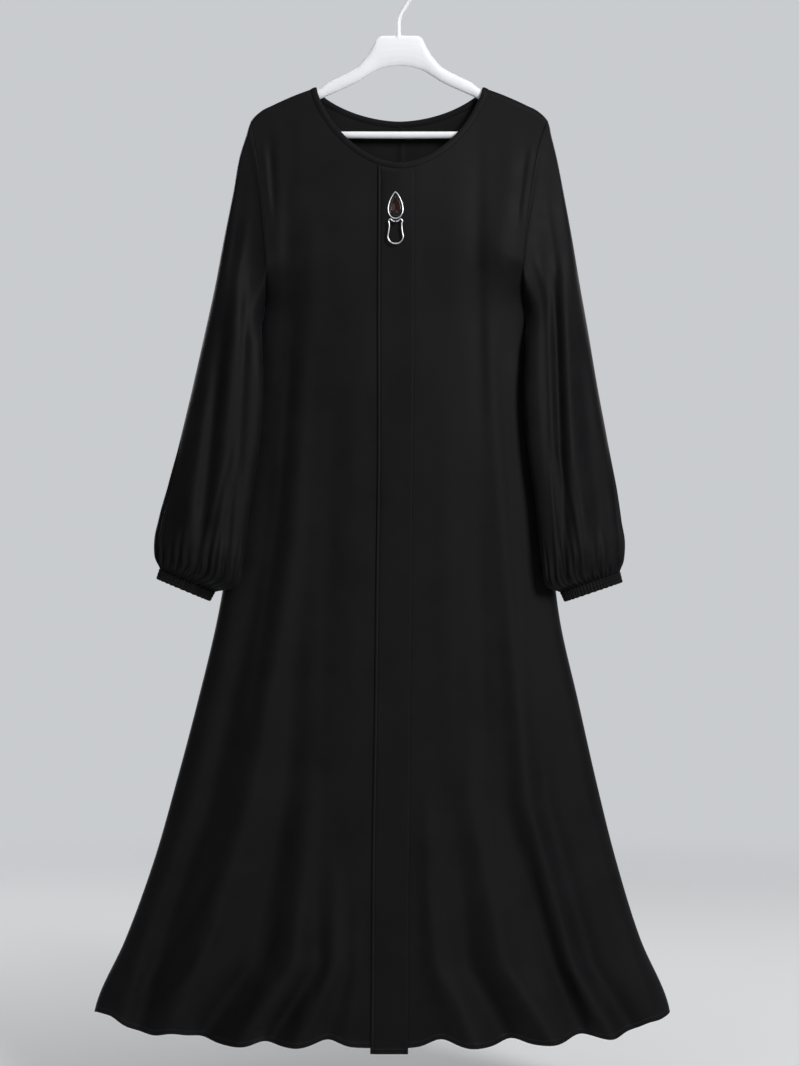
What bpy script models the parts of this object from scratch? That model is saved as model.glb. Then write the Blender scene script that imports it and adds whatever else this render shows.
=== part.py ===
"""Abaya on a hanger: cloth panels, sleeves, cuffs, placket, pendant and hanger as closed solids.

The origin is where a rail touches the inside of the hook. +X is the viewer's right, +Z is up and
the front of the garment faces -Y. Sizes are in millimetres, and MM turns them into metres.
"""

import math
from typing import NamedTuple

import bpy
import numpy as np

MM = 0.001

# Cloth
WALL = 1.6              # thickness of the cloth wall
GAP = 0.3               # space left between neighbouring pieces
ARMHOLE_GAP = 0.5       # the same along the curved armhole seams
PLACKET_WALL = 2.0      # folded front band
BINDING_WALL = 2.6      # rolled neck binding
BINDING_HEIGHT = 8.5

# Heights of the body
HEM_Z = -1513           # hem at the centre front
CORNER_RISE = 45        # how much higher the hem is at the side seams
UNDERARM_Z = -470
SHOULDER_TIP = (210, -207)
SHOULDER_ROLL = 10       # radius of the cloth over the hanger's arm
SHOULDER_TO_CHEST = 260  # drop over which the body reaches its full depth

# Neck
NECK_HALF = 118
NECK_DROP_FRONT = 111
NECK_DROP_BACK = 46
SPLIT_OFFSET = -18      # where the two fronts meet under the placket, from its middle
BINDING_SWELL = 0.5     # roundness of the binding's face

# Placket
PLACKET_BOTTOM = -1521
PLACKET_SEAT = 0.35     # from the fronts' outer face to the placket's inner face
PLACKET_LIFT = 0.9      # how much further its free edge stands off
PLACKET_BELOW_BINDING = 0.9


class Section(NamedTuple):
    """A level section of the body below and at the armholes."""

    z: float
    left: float         # x of the side edge on the viewer's left
    right: float        # x of the side edge on the viewer's right
    front: float        # how far the front stands forward of the side seams
    back: float         # how far the back stands behind them


BODY = (
    Section(-1513, -440, 390, 62, 46),
    Section(-1466, -432, 383, 61, 45),
    Section(-1373, -390.5, 343.5, 57, 42),
    Section(-1259, -349, 308, 52, 39),
    Section(-1145, -316.5, 279.5, 48, 36),
    Section(-1032, -286.7, 254, 44, 33),
    Section(-918, -259.6, 228.3, 42, 31),
    Section(-811, -241, 215.5, 40, 30),
    Section(-666, -221, 200, 38, 29),
    Section(-593, -212.7, 191.3, 37, 28),
    Section(-520, -202.7, 184.2, 36, 28),
    Section(-470, -195.6, 180, 35, 27),
    Section(-445, -190.6, 176.5, 35, 27),
    Section(-420, -188, 174.5, 35, 27),
    Section(-367, -190.3, 178, 35, 27),
    Section(-309, -194.6, 186, 35, 27),
    Section(-225, -207.7, 203, 35, 27),
    Section(-207, -210, 210, 35, 27),
    Section(-160, -210, 210, 35, 27),
)


class Ridge(NamedTuple):
    """The shoulder ridge, along the top of the hanger's arms."""

    x: float
    z: float


SHOULDER = (Ridge(0, -112), Ridge(60, -136), Ridge(118, -160), Ridge(150, -172), Ridge(180, -185.5),
            Ridge(198, -195), Ridge(210, -207), Ridge(218, -222))


class Flute(NamedTuple):
    """A soft fold that runs down the skirt and grows towards the hem."""

    begins: float       # z where it starts
    chest: float        # x at each height of FLUTE_HEIGHTS
    waist: float
    knee: float
    shin: float
    hem: float
    width: float        # half-width at the hem
    rise: float         # forward (positive) or inward (negative) at the hem


FLUTE_HEIGHTS = (-474, -819, -1170, -1400, -1509)

FRONT_FLUTES = (
    Flute(-474, -184, -226, -301, -371, -397, 22, 12),
    Flute(-474, -167, -189, -268, -347, -373, 20, -15),
    Flute(-330, -134, -154, -212, -283, -336, 27, 22),
    Flute(-900, -118, -125, -159, -205, -284, 24, -19),
    Flute(-1090, -111, -118, -127, -151, -224, 24, 19),
    Flute(-1230, -103, -106, -112, -116, -184, 18, -14),
    Flute(-1230, -76, -83, -88, -93, -145, 18, 13),
    Flute(-1360, -69, -69, -69, -72, -102, 14, -8),
    Flute(-1100, 29, 32, 34, 54, 104, 23, 15),
    Flute(-1180, 73, 73, 74, 96, 156, 20, -15),
    Flute(-1050, 96, 97, 99, 145, 216, 25, 18),
    Flute(-1080, 140, 144, 148, 218, 264, 21, -16),
    Flute(-330, 125, 152, 178, 242, 302, 21, 16),
    Flute(-1000, 168, 184, 206, 267, 337, 20, -14),
    Flute(-474, 169, 204, 270, 337, 367, 22, 11),
)

BACK_FLUTES = (
    Flute(-500, -160, -196, -270, -330, -378, 28, 13),
    Flute(-900, -130, -150, -205, -262, -318, 25, -12),
    Flute(-620, -95, -112, -148, -192, -232, 27, 15),
    Flute(-1100, -60, -70, -92, -120, -150, 24, -12),
    Flute(-820, -30, -34, -42, -54, -70, 24, 11),
    Flute(-1150, 22, 24, 28, 34, 40, 22, -11),
    Flute(-760, 62, 70, 92, 116, 140, 26, 14),
    Flute(-1040, 98, 112, 146, 184, 214, 24, -12),
    Flute(-560, 128, 152, 204, 250, 286, 27, 14),
    Flute(-1000, 150, 176, 238, 296, 338, 22, -9),
)


class Scallop(NamedTuple):
    """A place where the hem rises between two folds."""

    x: float
    width: float
    rise: float


FRONT_SCALLOPS = (Scallop(-408, 22, 10), Scallop(-318, 24, 10), Scallop(-280, 16, 4), Scallop(-192, 16, 5),
                  Scallop(-100, 22, 10), Scallop(58, 22, 12), Scallop(158, 20, 8), Scallop(252, 20, 7),
                  Scallop(300, 14, -3), Scallop(352, 14, 4))
BACK_SCALLOPS = (Scallop(-318, 24, 8), Scallop(-192, 20, 8), Scallop(-60, 22, 7), Scallop(92, 22, 8),
                 Scallop(214, 22, 8))


class Band(NamedTuple):
    """Edges of the placket at one height."""

    z: float
    left: float
    right: float


PLACKET = (Band(-1521, -41, 12), Band(-1211, -38, 14), Band(-762, -32, 18.5), Band(-290, -31, 21),
           Band(-260, -31, 21))


class Ring(NamedTuple):
    """A ring of a sleeve, from the crown line to the underarm line."""

    down: float         # 0 at the armhole, 1 at the cuff
    crown_x: float
    crown_z: float
    under_x: float
    under_z: float
    crown_y: float      # how far forward of the shoulder the crown line hangs
    depth: float        # half-depth from front to back


SLEEVE_RIGHT = (
    Ring(0.00, -210.5, -207, -197.3, -470.3, 0, 24),
    Ring(0.07, -224, -258, -201.5, -479, -2, 24),
    Ring(0.14, -233, -310, -203.5, -487, -4, 24),
    Ring(0.22, -245, -372, -204.5, -495, -6, 24),
    Ring(0.31, -258, -440, -202.5, -508, -8, 24),
    Ring(0.42, -273, -510, -194.0, -536, -9, 24),
    Ring(0.54, -291, -586, -192.0, -598, -10, 25),
    Ring(0.66, -310, -664, -197.0, -672, -11, 26),
    Ring(0.76, -328, -730, -208.0, -742, -12, 28),
    Ring(0.84, -339, -772, -215.5, -800, -13, 30),
    Ring(0.90, -344.5, -800, -220.5, -838, -14, 31),
    Ring(0.95, -344.5, -825, -228.0, -866, -16, 27),
    Ring(1.00, -338.5, -844.5, -262, -877, -18, 15),
)

SLEEVE_LEFT = (
    Ring(0.00, 210.5, -207, 181.7, -470.3, 0, 24),
    Ring(0.07, 221, -258, 187.5, -480, -2, 24),
    Ring(0.14, 230, -310, 188.0, -487, -4, 24),
    Ring(0.22, 241, -372, 189.0, -495, -6, 24),
    Ring(0.31, 252, -440, 187.0, -508, -8, 24),
    Ring(0.42, 265.5, -510, 179.0, -536, -9, 24),
    Ring(0.54, 280.5, -586, 175.5, -598, -10, 25),
    Ring(0.66, 295, -664, 180.5, -672, -11, 26),
    Ring(0.76, 306, -730, 190.0, -742, -12, 28),
    Ring(0.84, 313, -778, 196.0, -800, -13, 30),
    Ring(0.90, 316.8, -806, 200.5, -838, -14, 31),
    Ring(0.95, 317.0, -830, 206.0, -866, -16, 27),
    Ring(1.00, 311.2, -849, 228.5, -877.5, -18, 15),
)


class Crease(NamedTuple):
    """A fold that hangs down the front or the back of a sleeve."""

    face: int           # -1 on the front, 1 on the back
    top_x: float
    top_z: float
    middle_x: float
    middle_z: float
    low_x: float
    low_z: float
    width: float
    rise: float


CREASES_RIGHT = (
    Crease(-1, -229, -464, -246, -668, -258, -800, 11, 5),
    Crease(-1, -251, -520, -270, -668, -280, -800, 10, -6),
    Crease(-1, -270, -590, -292, -740, -300, -805, 12, 5),
    Crease(1, -232, -440, -252, -660, -270, -800, 13, 5),
    Crease(1, -256, -480, -280, -680, -300, -800, 12, -5),
)

CREASES_LEFT = (
    Crease(-1, 219, -450, 226, -690, 236, -836, 9, -9),
    Crease(-1, 236, -450, 246, -690, 262, -820, 12, 6),
    Crease(-1, 258, -560, 274, -700, 284, -800, 12, -4),
    Crease(1, 222, -440, 236, -660, 250, -800, 13, 5),
    Crease(1, 246, -480, 262, -680, 276, -800, 12, -5),
)

PUCKERS = 20            # gathers round each sleeve, above the cuff
PUCKER_RISE = 2.6
CUFF_RIBS = 30          # ruched ribs round each cuff
CUFF_RIB_RISE = 1.2
CUFF_HEIGHT = 14
CUFF_WALL = 2.2

# Hanger
ARM_HALF_DEPTH = 5.0
ARM_EDGE = 2.4            # how far the arm's long edges are rounded in
ARM_CLEARANCE = 3.9     # from the top of the shoulder ridge down to the arm
ARM_REACH = 200
BAR_Z = -228
BAR_RADIUS = 5.3
BAR_HALF = 190
HOOK_RADIUS = 3.5
HOOK_BEND = 22.5        # centre-line radius of the hook
HOOK_CENTRE_Z = -19     # the rail touches the inside of the hook HOOK_BEND - HOOK_RADIUS above it
SHANK_X = -1.5
BLOCK_TOP = -86

# Pendant
PENDANT_X = -5.6
PENDANT_TOP = -313.5
PENDANT_HEIGHT = 39
PENDANT_WIDTH = 25
FRAME_WIRE = 1.0
LUG_WIRE = 0.8
LUG_RISE = 2.5          # half-height of the lug's oval eye, along its wire
LUG_REACH = 5.0         # half-depth of the same eye, which stands out from the placket
RING_WIRE = 1.0


class Slice(NamedTuple):
    """An upright section of the hanger's block and arms."""

    x: float
    top: float
    bottom: float


BLOCK = (Slice(0, -86, -129.5), Slice(16, -86, -131), Slice(28, -86.5, -134.5), Slice(33, -90, -136.5),
         Slice(37, -99, -138.5), Slice(45, -113.5, -143.5), Slice(59, -130, -152.5),
         Slice(73, -138.5, -159.5), Slice(88, -145.5, -166), Slice(103, -153, -172.5),
         Slice(112, -160.5, -177))


# ---------------------------------------------------------------- curves through the tables


def along(rows, key, field, at):
    """Values of one column of a table, on a smooth curve through its rows."""
    rows = sorted(rows, key=lambda row: getattr(row, key))
    keys = np.array([getattr(row, key) for row in rows], float)
    values = np.array([getattr(row, field) for row in rows], float)
    slopes = np.gradient(values, keys)
    at = np.clip(np.asarray(at, float), keys[0], keys[-1])
    i = np.clip(np.searchsorted(keys, at, side="right") - 1, 0, len(keys) - 2)
    span = keys[i + 1] - keys[i]
    t = (at - keys[i]) / span
    return ((2 * t**3 - 3 * t**2 + 1) * values[i] + (t**3 - 2 * t**2 + t) * span * slopes[i]
            + (3 * t**2 - 2 * t**3) * values[i + 1] + (t**3 - t**2) * span * slopes[i + 1])


def ease(t):
    """Smooth step from 0 to 1."""
    t = np.clip(t, 0, 1)
    return t * t * (3 - 2 * t)


def ridge(x):
    """Height of the shoulder ridge."""
    return along(SHOULDER, "x", "z", np.abs(x))


def centre(z):
    """Middle of the placket, which the body hangs about."""
    return (along(PLACKET, "z", "left", z) + along(PLACKET, "z", "right", z)) / 2


def across(x, z):
    """Place across the body: 0 at the placket's middle, 1 at either side edge."""
    middle = centre(z)
    left = along(BODY, "z", "left", z)
    right = along(BODY, "z", "right", z)
    return np.clip(np.where(x < middle, (middle - x) / (middle - left), (x - middle) / (right - middle)),
                   0, 1)


def flute_rise(flutes, x, z):
    """Sum of the skirt's folds at a point."""
    total = np.zeros(np.broadcast(x, z).shape)
    heights = np.array(FLUTE_HEIGHTS[::-1], float)
    for flute in flutes:
        places = np.array([flute.hem, flute.shin, flute.knee, flute.waist, flute.chest], float)
        path = np.interp(z, heights, places)
        grown = np.clip((flute.begins - z) / (flute.begins - HEM_Z), 0, 1)
        width = flute.width * (0.55 + 0.45 * grown)
        total = total + flute.rise * grown**1.3 * np.exp(-(((x - path) / width) ** 2))
    return total


def body_depth(face, x, z):
    """Distance of the cloth's outer face from the hanger's plane, on the front or the back."""
    s = across(x, z)
    below = np.maximum(ridge(x) - z, 0)
    roll = SHOULDER_ROLL * np.sqrt(1 - (1 - np.minimum(below / SHOULDER_ROLL, 1)) ** 2)
    full = along(BODY, "z", face, z)
    depth = roll + (full - SHOULDER_ROLL) * ease(below / SHOULDER_TO_CHEST)
    armhole = np.sqrt(ease((z - UNDERARM_Z) / 70))
    rounded = np.sqrt(np.maximum(1 - s**2.1, 0))
    return depth * (armhole + (1 - armhole) * rounded)


def front_y(x, z):
    """Outer face of the fronts."""
    calm = ease((np.abs(x - centre(z)) - 27) / 28) * np.sqrt(np.maximum(1 - across(x, z) ** 6, 0))
    return -body_depth("front", x, z) - calm * flute_rise(FRONT_FLUTES, x, z)


def back_y(x, z):
    """Outer face of the backs."""
    calm = np.sqrt(np.maximum(1 - across(x, z) ** 6, 0))
    return body_depth("back", x, z) + calm * flute_rise(BACK_FLUTES, x, z)


def hem_z(x, scallops):
    """Height of the hem, which rises towards the side seams and in a scallop between folds."""
    s = across(x, np.full(np.shape(x), float(HEM_Z)))
    lift = sum(scallop.rise * np.exp(-(((x - scallop.x) / scallop.width) ** 2)) for scallop in scallops)
    return HEM_Z + CORNER_RISE * (0.45 * s**2.6 + 0.55 * s**8) + lift


def neck_crossing(x, face):
    """Direction across the neck seam, from the panel's edge towards the opening."""
    share = max(-1.0, min(1.0, x / (NECK_HALF + BINDING_HEIGHT + GAP)))
    surface, drop = (front_y, NECK_DROP_FRONT) if face == "front" else (back_y, NECK_DROP_BACK)
    ends = []
    for outset in (BINDING_HEIGHT + GAP, BINDING_HEIGHT / 2):
        at_x = share * (NECK_HALF + outset)
        at_z = float(neck_z(at_x, outset, drop))
        y = 0.0 if abs(share) > 0.9999 else float(surface(at_x, at_z))
        ends.append(np.array([at_x, y, at_z]))
    step = ends[1] - ends[0]
    return step / np.linalg.norm(step)


def neck_z(x, outset, drop):
    """Height of a curve round the neck, set out from the opening's edge."""
    half = NECK_HALF + outset
    t = np.clip(np.abs(x) / half, 0, 1)
    return ridge(half) - (drop + 0.6 * outset) * (1 - t**1.85) ** 0.725


# ---------------------------------------------------------------- building closed walls


def normals_of(points, around):
    """Unit normals of a grid of points, facing left-handed from rows to columns."""
    if around:
        wrapped = np.concatenate([points[:, -1:], points, points[:, :1]], axis=1)
        across_row = (wrapped[:, 2:] - wrapped[:, :-2])
    else:
        across_row = np.gradient(points, axis=1)
    normals = np.cross(across_row, np.gradient(points, axis=0))
    return normals / np.linalg.norm(normals, axis=2, keepdims=True)


def flattened(normals, axis):
    """Normals with their part along a seam's crossing direction taken out."""
    axis = np.asarray(axis, float)
    flat = normals - (normals @ axis)[..., None] * axis
    return flat / np.linalg.norm(flat, axis=-1, keepdims=True)


def walled(outer, inner, around):
    """Vertices and faces of a closed wall between two grids, with columns that may close round."""
    rows, columns = outer.shape[:2]
    points = np.concatenate([outer.reshape(-1, 3), inner.reshape(-1, 3)])
    shift = rows * columns
    steps = columns if around else columns - 1
    faces = []

    def at(row, column):
        return row * columns + column % columns

    for row in range(rows - 1):
        for column in range(steps):
            quad = [at(row, column), at(row, column + 1), at(row + 1, column + 1), at(row + 1, column)]
            faces.append(quad)
            faces.append([shift + i for i in reversed(quad)])
    for column in range(steps):
        for row, flip in ((0, True), (rows - 1, False)):
            a, b = at(row, column), at(row, column + 1)
            rim = [a, shift + a, shift + b, b]
            faces.append(rim if flip else rim[::-1])
    if not around:
        for row in range(rows - 1):
            for column, flip in ((0, False), (columns - 1, True)):
                a, b = at(row, column), at(row + 1, column)
                rim = [a, shift + a, shift + b, b]
                faces.append(rim if flip else rim[::-1])
    return points, faces


def add_object(name, points, faces, material, moved=(0, 0, 0)):
    """A mesh object in metres, with its origin at a given place."""
    origin = np.asarray(moved, float)
    mesh = bpy.data.meshes.new(name)
    mesh.from_pydata([tuple((p - origin) * MM) for p in np.asarray(points, float)], [], faces)
    mesh.update()
    mesh.shade_smooth()
    mesh.materials.append(material)
    piece = bpy.data.objects.new(name, mesh)
    piece.location = origin * MM
    bpy.context.collection.objects.link(piece)
    return piece


def add_cloth(name, outer, wall, material, seams=(), around=False, flip=False):
    """A cloth piece: a wall set in from a grid of outer points, square to each seam."""
    if flip:
        outer = outer[:, ::-1]
    normals = normals_of(outer, around)
    for picked, axis in seams:
        row, column = picked
        if flip and column is not None:
            column = -1 - column
        if column is None:
            normals[row] = flattened(normals[row], axis)
        else:
            normals[row, column] = flattened(normals[row, column], axis)
    points, faces = walled(outer, outer - normals * wall, around)
    return add_object(name, points, faces, material)


# ---------------------------------------------------------------- body panels

LOWER_ROWS = np.linspace(0, 1, 14)
UPPER_ROWS = np.array([0, 0.12, 0.27, 0.44, 0.61, 0.77, 0.885, 0.955, 0.988, 1.0])
NECK_SPREAD = (-420, -260)  # between these heights the columns gather towards the ends of the neck


class Half:
    """Half of the front or the back: where its columns run, from the side edge inwards."""

    def __init__(self, face, side, inner_edge, counts):
        """Sets out the columns, outside and inside the end of the neck binding."""
        self.face = face
        self.side = side
        self.inner_edge = inner_edge
        self.outward = -1 if face == "front" else 1
        self.surface = front_y if face == "front" else back_y
        self.scallops = FRONT_SCALLOPS if face == "front" else BACK_SCALLOPS
        self.neck_drop = NECK_DROP_FRONT if face == "front" else NECK_DROP_BACK
        self.neck_end = NECK_HALF + BINDING_HEIGHT + GAP
        self.shoulder_columns, neck_columns = counts
        edge = side * SHOULDER_TIP[0]
        split = float(inner_edge(-250))
        span = edge - split
        end = (edge - side * self.neck_end) / span
        shoulder = np.linspace(0, end, self.shoulder_columns + 1)
        last = math.acos(min(1, abs(split) / self.neck_end) * math.copysign(1, split * side))
        turns = last * np.linspace(0, 1, neck_columns + 1)[1:] ** 1.35
        self.high = np.concatenate([shoulder, (edge - side * self.neck_end * np.cos(turns)) / span])
        self.low = np.concatenate([shoulder, end + (1 - end) * np.linspace(0, 1, neck_columns + 1)[1:]])

    def x_at(self, column, z):
        """Where a column runs at a height."""
        blend = ease((np.asarray(z, float) - NECK_SPREAD[0]) / (NECK_SPREAD[1] - NECK_SPREAD[0]))
        weight = self.low[column] + (self.high[column] - self.low[column]) * blend
        edge = along(BODY, "z", "left" if self.side < 0 else "right", z)
        return edge + (self.inner_edge(z) - edge) * weight

    def top_of(self, column):
        """Height at which a column ends, at the shoulder seam or below the neck binding."""
        if column == 0:
            return float(SHOULDER_TIP[1])
        top = -250.0
        for _ in range(60):
            x = float(self.x_at(column, top))
            if column <= self.shoulder_columns:
                target = float(ridge(x))
            else:
                target = float(neck_z(x, BINDING_HEIGHT + GAP, self.neck_drop))
            top += 0.5 * (target - top)
        return top

    def grid(self):
        """Outer points, rows from the hem up."""
        columns = len(self.high)
        points = np.zeros((len(LOWER_ROWS) + len(UPPER_ROWS) - 1, columns, 3))
        for column in range(columns):
            low = HEM_Z
            for _ in range(10):
                low = float(hem_z(self.x_at(column, low), self.scallops))
            top = self.top_of(column)
            heights = np.concatenate([low + (UNDERARM_Z - low) * LOWER_ROWS,
                                      UNDERARM_Z + (top - UNDERARM_Z) * UPPER_ROWS[1:]])
            xs = self.x_at(column, heights)
            points[:, column] = np.stack([xs, self.surface(xs, heights), heights], axis=-1)
        points[..., 1] = self.outward * np.maximum(self.outward * points[..., 1], GAP / 2)
        return points

    def neck_points(self):
        """Tops of the columns from the end of the neck inwards, which the binding follows."""
        columns = range(self.shoulder_columns, len(self.high))
        tops = [self.top_of(column) for column in columns]
        return [(float(self.x_at(column, top)), top) for column, top in zip(columns, tops)]


def centre_split(z):
    """Line under the placket on which the two fronts meet."""
    return centre(z) + SPLIT_OFFSET


CENTRE_BACK = 2.0

HALVES = {
    "front_right": Half("front", -1, lambda z: centre_split(z) - GAP / 2, (6, 9)),
    "front_left": Half("front", 1, lambda z: centre_split(z) + GAP / 2, (6, 10)),
    "back_right": Half("back", -1, lambda z: CENTRE_BACK - GAP / 2 + 0 * z, (6, 7)),
    "back_left": Half("back", 1, lambda z: CENTRE_BACK + GAP / 2 + 0 * z, (6, 7)),
}


def add_body(cloth):
    """Two fronts and two backs, closed square at their seams."""
    below = len(LOWER_ROWS)
    for name, half in HALVES.items():
        seams = [((slice(0, below), 0), (0, 1, 0)), ((slice(below, None), 0), (1, 0, 0)),
                 ((slice(None), -1), (1, 0, 0))]
        seams += [((-1, column), (0, 1, 0)) for column in range(half.shoulder_columns + 1)]
        for step, (x, _) in enumerate(half.neck_points()):
            seams.append(((-1, half.shoulder_columns + step), neck_crossing(x, half.face)))
        add_cloth(name, half.grid(), WALL, cloth, seams, flip=half.side * half.outward < 0)


def add_placket(cloth):
    """The band down the centre front, which lies on both fronts and hangs a little below them."""
    columns = 5
    heights_low = PLACKET_BOTTOM + (UNDERARM_Z - PLACKET_BOTTOM) * LOWER_ROWS
    outer = np.zeros((len(LOWER_ROWS) + len(UPPER_ROWS) - 1, columns, 3))
    for column, t in enumerate(np.linspace(0, 1, columns)):
        x_top = placket_x(-280.0, t)
        top = float(neck_z(x_top, BINDING_HEIGHT + GAP, NECK_DROP_FRONT)) - PLACKET_BELOW_BINDING
        heights = np.concatenate([heights_low, UNDERARM_Z + (top - UNDERARM_Z) * UPPER_ROWS[1:]])
        xs = placket_x(heights, t)
        outer[:, column] = np.stack([xs, placket_y(xs, heights, t), heights], axis=-1)
    points, faces = walled(outer, outer + np.array([0, PLACKET_WALL, 0]), False)
    return add_object("placket", points, faces, cloth)


def placket_x(z, t):
    """Place across the placket, from its left edge (0) to its right edge (1)."""
    return along(PLACKET, "z", "left", z) * (1 - t) + along(PLACKET, "z", "right", z) * t


def placket_y(x, z, t=0.5):
    """Outer face of the placket, whose free edge on the viewer's right stands a little proud."""
    return front_y(x, z) - PLACKET_SEAT - PLACKET_WALL - PLACKET_LIFT * t**2


def add_binding(cloth):
    """A rolled band round the neck opening, which follows the panels' top edges."""
    front = HALVES["front_right"].neck_points() + HALVES["front_left"].neck_points()[::-1][1:]
    back = HALVES["back_left"].neck_points() + HALVES["back_right"].neck_points()[::-1][1:]
    edge_half = NECK_HALF + BINDING_HEIGHT + GAP
    loop = [(-1, x) for x, _ in front] + [(1, x) for x, _ in back[1:-1]]
    heights = [z for _, z in front] + [z for _, z in back[1:-1]]
    outer = np.zeros((3, len(loop), 3))
    for column, ((facing, x), z_edge) in enumerate(zip(loop, heights)):
        drop = NECK_DROP_FRONT if facing < 0 else NECK_DROP_BACK
        share = max(-1.0, min(1.0, x / edge_half))
        at_end = abs(share) > 0.9999
        for row, outset in enumerate((BINDING_HEIGHT, BINDING_HEIGHT / 2, 0)):
            new_x = share * (NECK_HALF + outset)
            new_z = float(neck_z(new_x, outset, drop))
            surface = front_y if facing < 0 else back_y
            y = 0.0 if at_end else float(surface(new_x, new_z))
            outer[row, column] = (new_x, y, new_z)
    normals = normals_of(outer, True)
    for column, (facing, x) in enumerate(loop):
        crossing = neck_crossing(x, "front" if facing < 0 else "back")
        normals[0, column] = flattened(normals[0, column], crossing)
    crown = 0.5 * (BINDING_WALL - WALL)
    swell = np.array([0.0, BINDING_SWELL, 0.0])[:, None, None]
    points, faces = walled(outer + normals * (crown + swell), outer - normals * (WALL + crown), True)
    return add_object("neck_binding", points, faces, cloth)


# ---------------------------------------------------------------- sleeves

SLEEVE_DOWN = (0, 0.035, 0.07, 0.11, 0.16, 0.22, 0.29, 0.37, 0.46, 0.56, 0.67, 0.77, 0.85, 0.905, 0.955, 1)
SLEEVE_AROUND = 2 * PUCKERS
UNDERARM_SPREAD = 0.12   # opens out the columns at the crown and the underarm
BODY_CLEARANCE = 3.5


def armhole_point(side, turn):
    """A point of the body's armhole edge, from the shoulder tip (turn 0) to the underarm (pi)."""
    share = (1 - math.cos(turn)) / 2
    z = SHOULDER_TIP[1] + (UNDERARM_Z - SHOULDER_TIP[1]) * share
    heights = UNDERARM_Z + (SHOULDER_TIP[1] - UNDERARM_Z) * UPPER_ROWS
    edge = along(BODY, "z", "left" if side < 0 else "right", heights)
    depths = (front_y if turn <= math.pi else back_y)(edge, heights)
    x = float(np.interp(z, heights, edge)) + side * (ARMHOLE_GAP + 1.2 * share**12)
    y = 0.0 if turn in (0, math.pi) else float(np.interp(z, heights, depths))
    return np.array([x, y, z])


def crease_rise(creases, facing, x, z):
    """Sum of a sleeve's hanging folds at a point."""
    total = 0.0
    for crease in creases:
        if crease.face != facing:
            continue
        heights = (crease.low_z, crease.middle_z, crease.top_z)
        path = float(np.interp(z, heights, (crease.low_x, crease.middle_x, crease.top_x)))
        run_in = float(ease((crease.top_z + 70 - z) / 140))
        run_out = float(ease((z - crease.low_z + 25) / 50))
        total += crease.rise * run_in * run_out * math.exp(-(((x - path) / crease.width) ** 2))
    return total


def sleeve_point(side, rings, creases, down, turn):
    """A point of a sleeve's outer face."""
    crown_x, crown_z, under_x, under_z, crown_y, depth = (
        float(along(rings, "down", field, down)) for field in Ring._fields[1:])
    share = (1 - math.cos(turn)) / 2
    x = crown_x + (under_x - crown_x) * share
    z = crown_z + (under_z - crown_z) * share
    line_y = crown_y + (inboard_line(under_x, under_z, depth) - crown_y) * share
    bulge = math.copysign(abs(math.sin(turn)) ** 0.85, math.sin(turn))
    y = line_y - depth * bulge
    facing = -1 if turn < math.pi else 1
    y += facing * crease_rise(creases, facing, x, z) * abs(math.sin(turn))
    worn = 1 - float(ease(down / 0.3))
    start = armhole_point(side, turn)
    base = np.array([float(rings[0].crown_x + (rings[0].under_x - rings[0].crown_x) * share), 0,
                     float(rings[0].crown_z + (rings[0].under_z - rings[0].crown_z) * share)])
    x += (start[0] - base[0]) * worn
    y += (start[1] - y) * worn
    z += (start[2] - base[2]) * worn
    return np.array([x, y, z])


def inboard_line(under_x, under_z, depth):
    """How far forward a sleeve's inner edge hangs, to pass in front of the side of the skirt."""
    forward = float(front_y(under_x, under_z)) - BODY_CLEARANCE - 0.6 * depth
    return forward * float(ease((UNDERARM_Z - under_z) / 60))


def clear_of_body(side, point, down):
    """Moves a sleeve's point in front of the body where it hangs over the side of the skirt."""
    x, y, z = point
    if down == 0 or z > UNDERARM_Z - 2:
        return point
    outboard = side * (x - float(along(BODY, "z", "left" if side < 0 else "right", z)))
    clearance = min(BODY_CLEARANCE, 1 - 0.3 * outboard)
    limit = float(front_y(x, z)) - clearance + 4 * max(0.0, outboard)
    return np.array([x, min(y, limit), z])


def sleeve_grid(side, rings, creases):
    """Outer points of a sleeve, rows from the cuff up to the armhole."""
    grid = np.zeros((len(SLEEVE_DOWN), SLEEVE_AROUND, 3))
    for row, down in enumerate(reversed(SLEEVE_DOWN)):
        for column in range(SLEEVE_AROUND):
            turn = 2 * math.pi * column / SLEEVE_AROUND
            turn += UNDERARM_SPREAD * math.sin(2 * turn)
            grid[row, column] = sleeve_point(side, rings, creases, down, turn)
    normals = normals_of(grid, True) * (1 if side < 0 else -1)
    for row, down in enumerate(reversed(SLEEVE_DOWN)):
        gathered = float(ease((down - 0.80) / 0.13)) * (1 - 0.75 * float(ease((down - 0.94) / 0.06)))
        for column in range(SLEEVE_AROUND):
            uneven = 1 + 0.35 * math.sin(2.4 * column + side)
            pucker = PUCKER_RISE * gathered * uneven * (1 if column % 2 else -1)
            moved = grid[row, column] + normals[row, column] * pucker
            grid[row, column] = clear_of_body(side, moved, down)
    return grid


def add_sleeve(name, side, rings, creases, material):
    """A balloon sleeve, gathered into its cuff."""
    grid = sleeve_grid(side, rings, creases)
    end = rings[-1]
    axis = cuff_axis(end)
    seams = [((-1, None), (1, 0, 0)), ((0, None), axis)]
    return add_cloth(name, grid, WALL, material, seams, around=True, flip=side > 0)


def cuff_axis(end):
    """Direction in which a cuff runs down from its sleeve."""
    along_x, along_z = end.under_x - end.crown_x, end.under_z - end.crown_z
    length = math.hypot(along_x, along_z)
    side = math.copysign(1, along_x)
    return (side * along_z / length, 0.0, -side * along_x / length)


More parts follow.
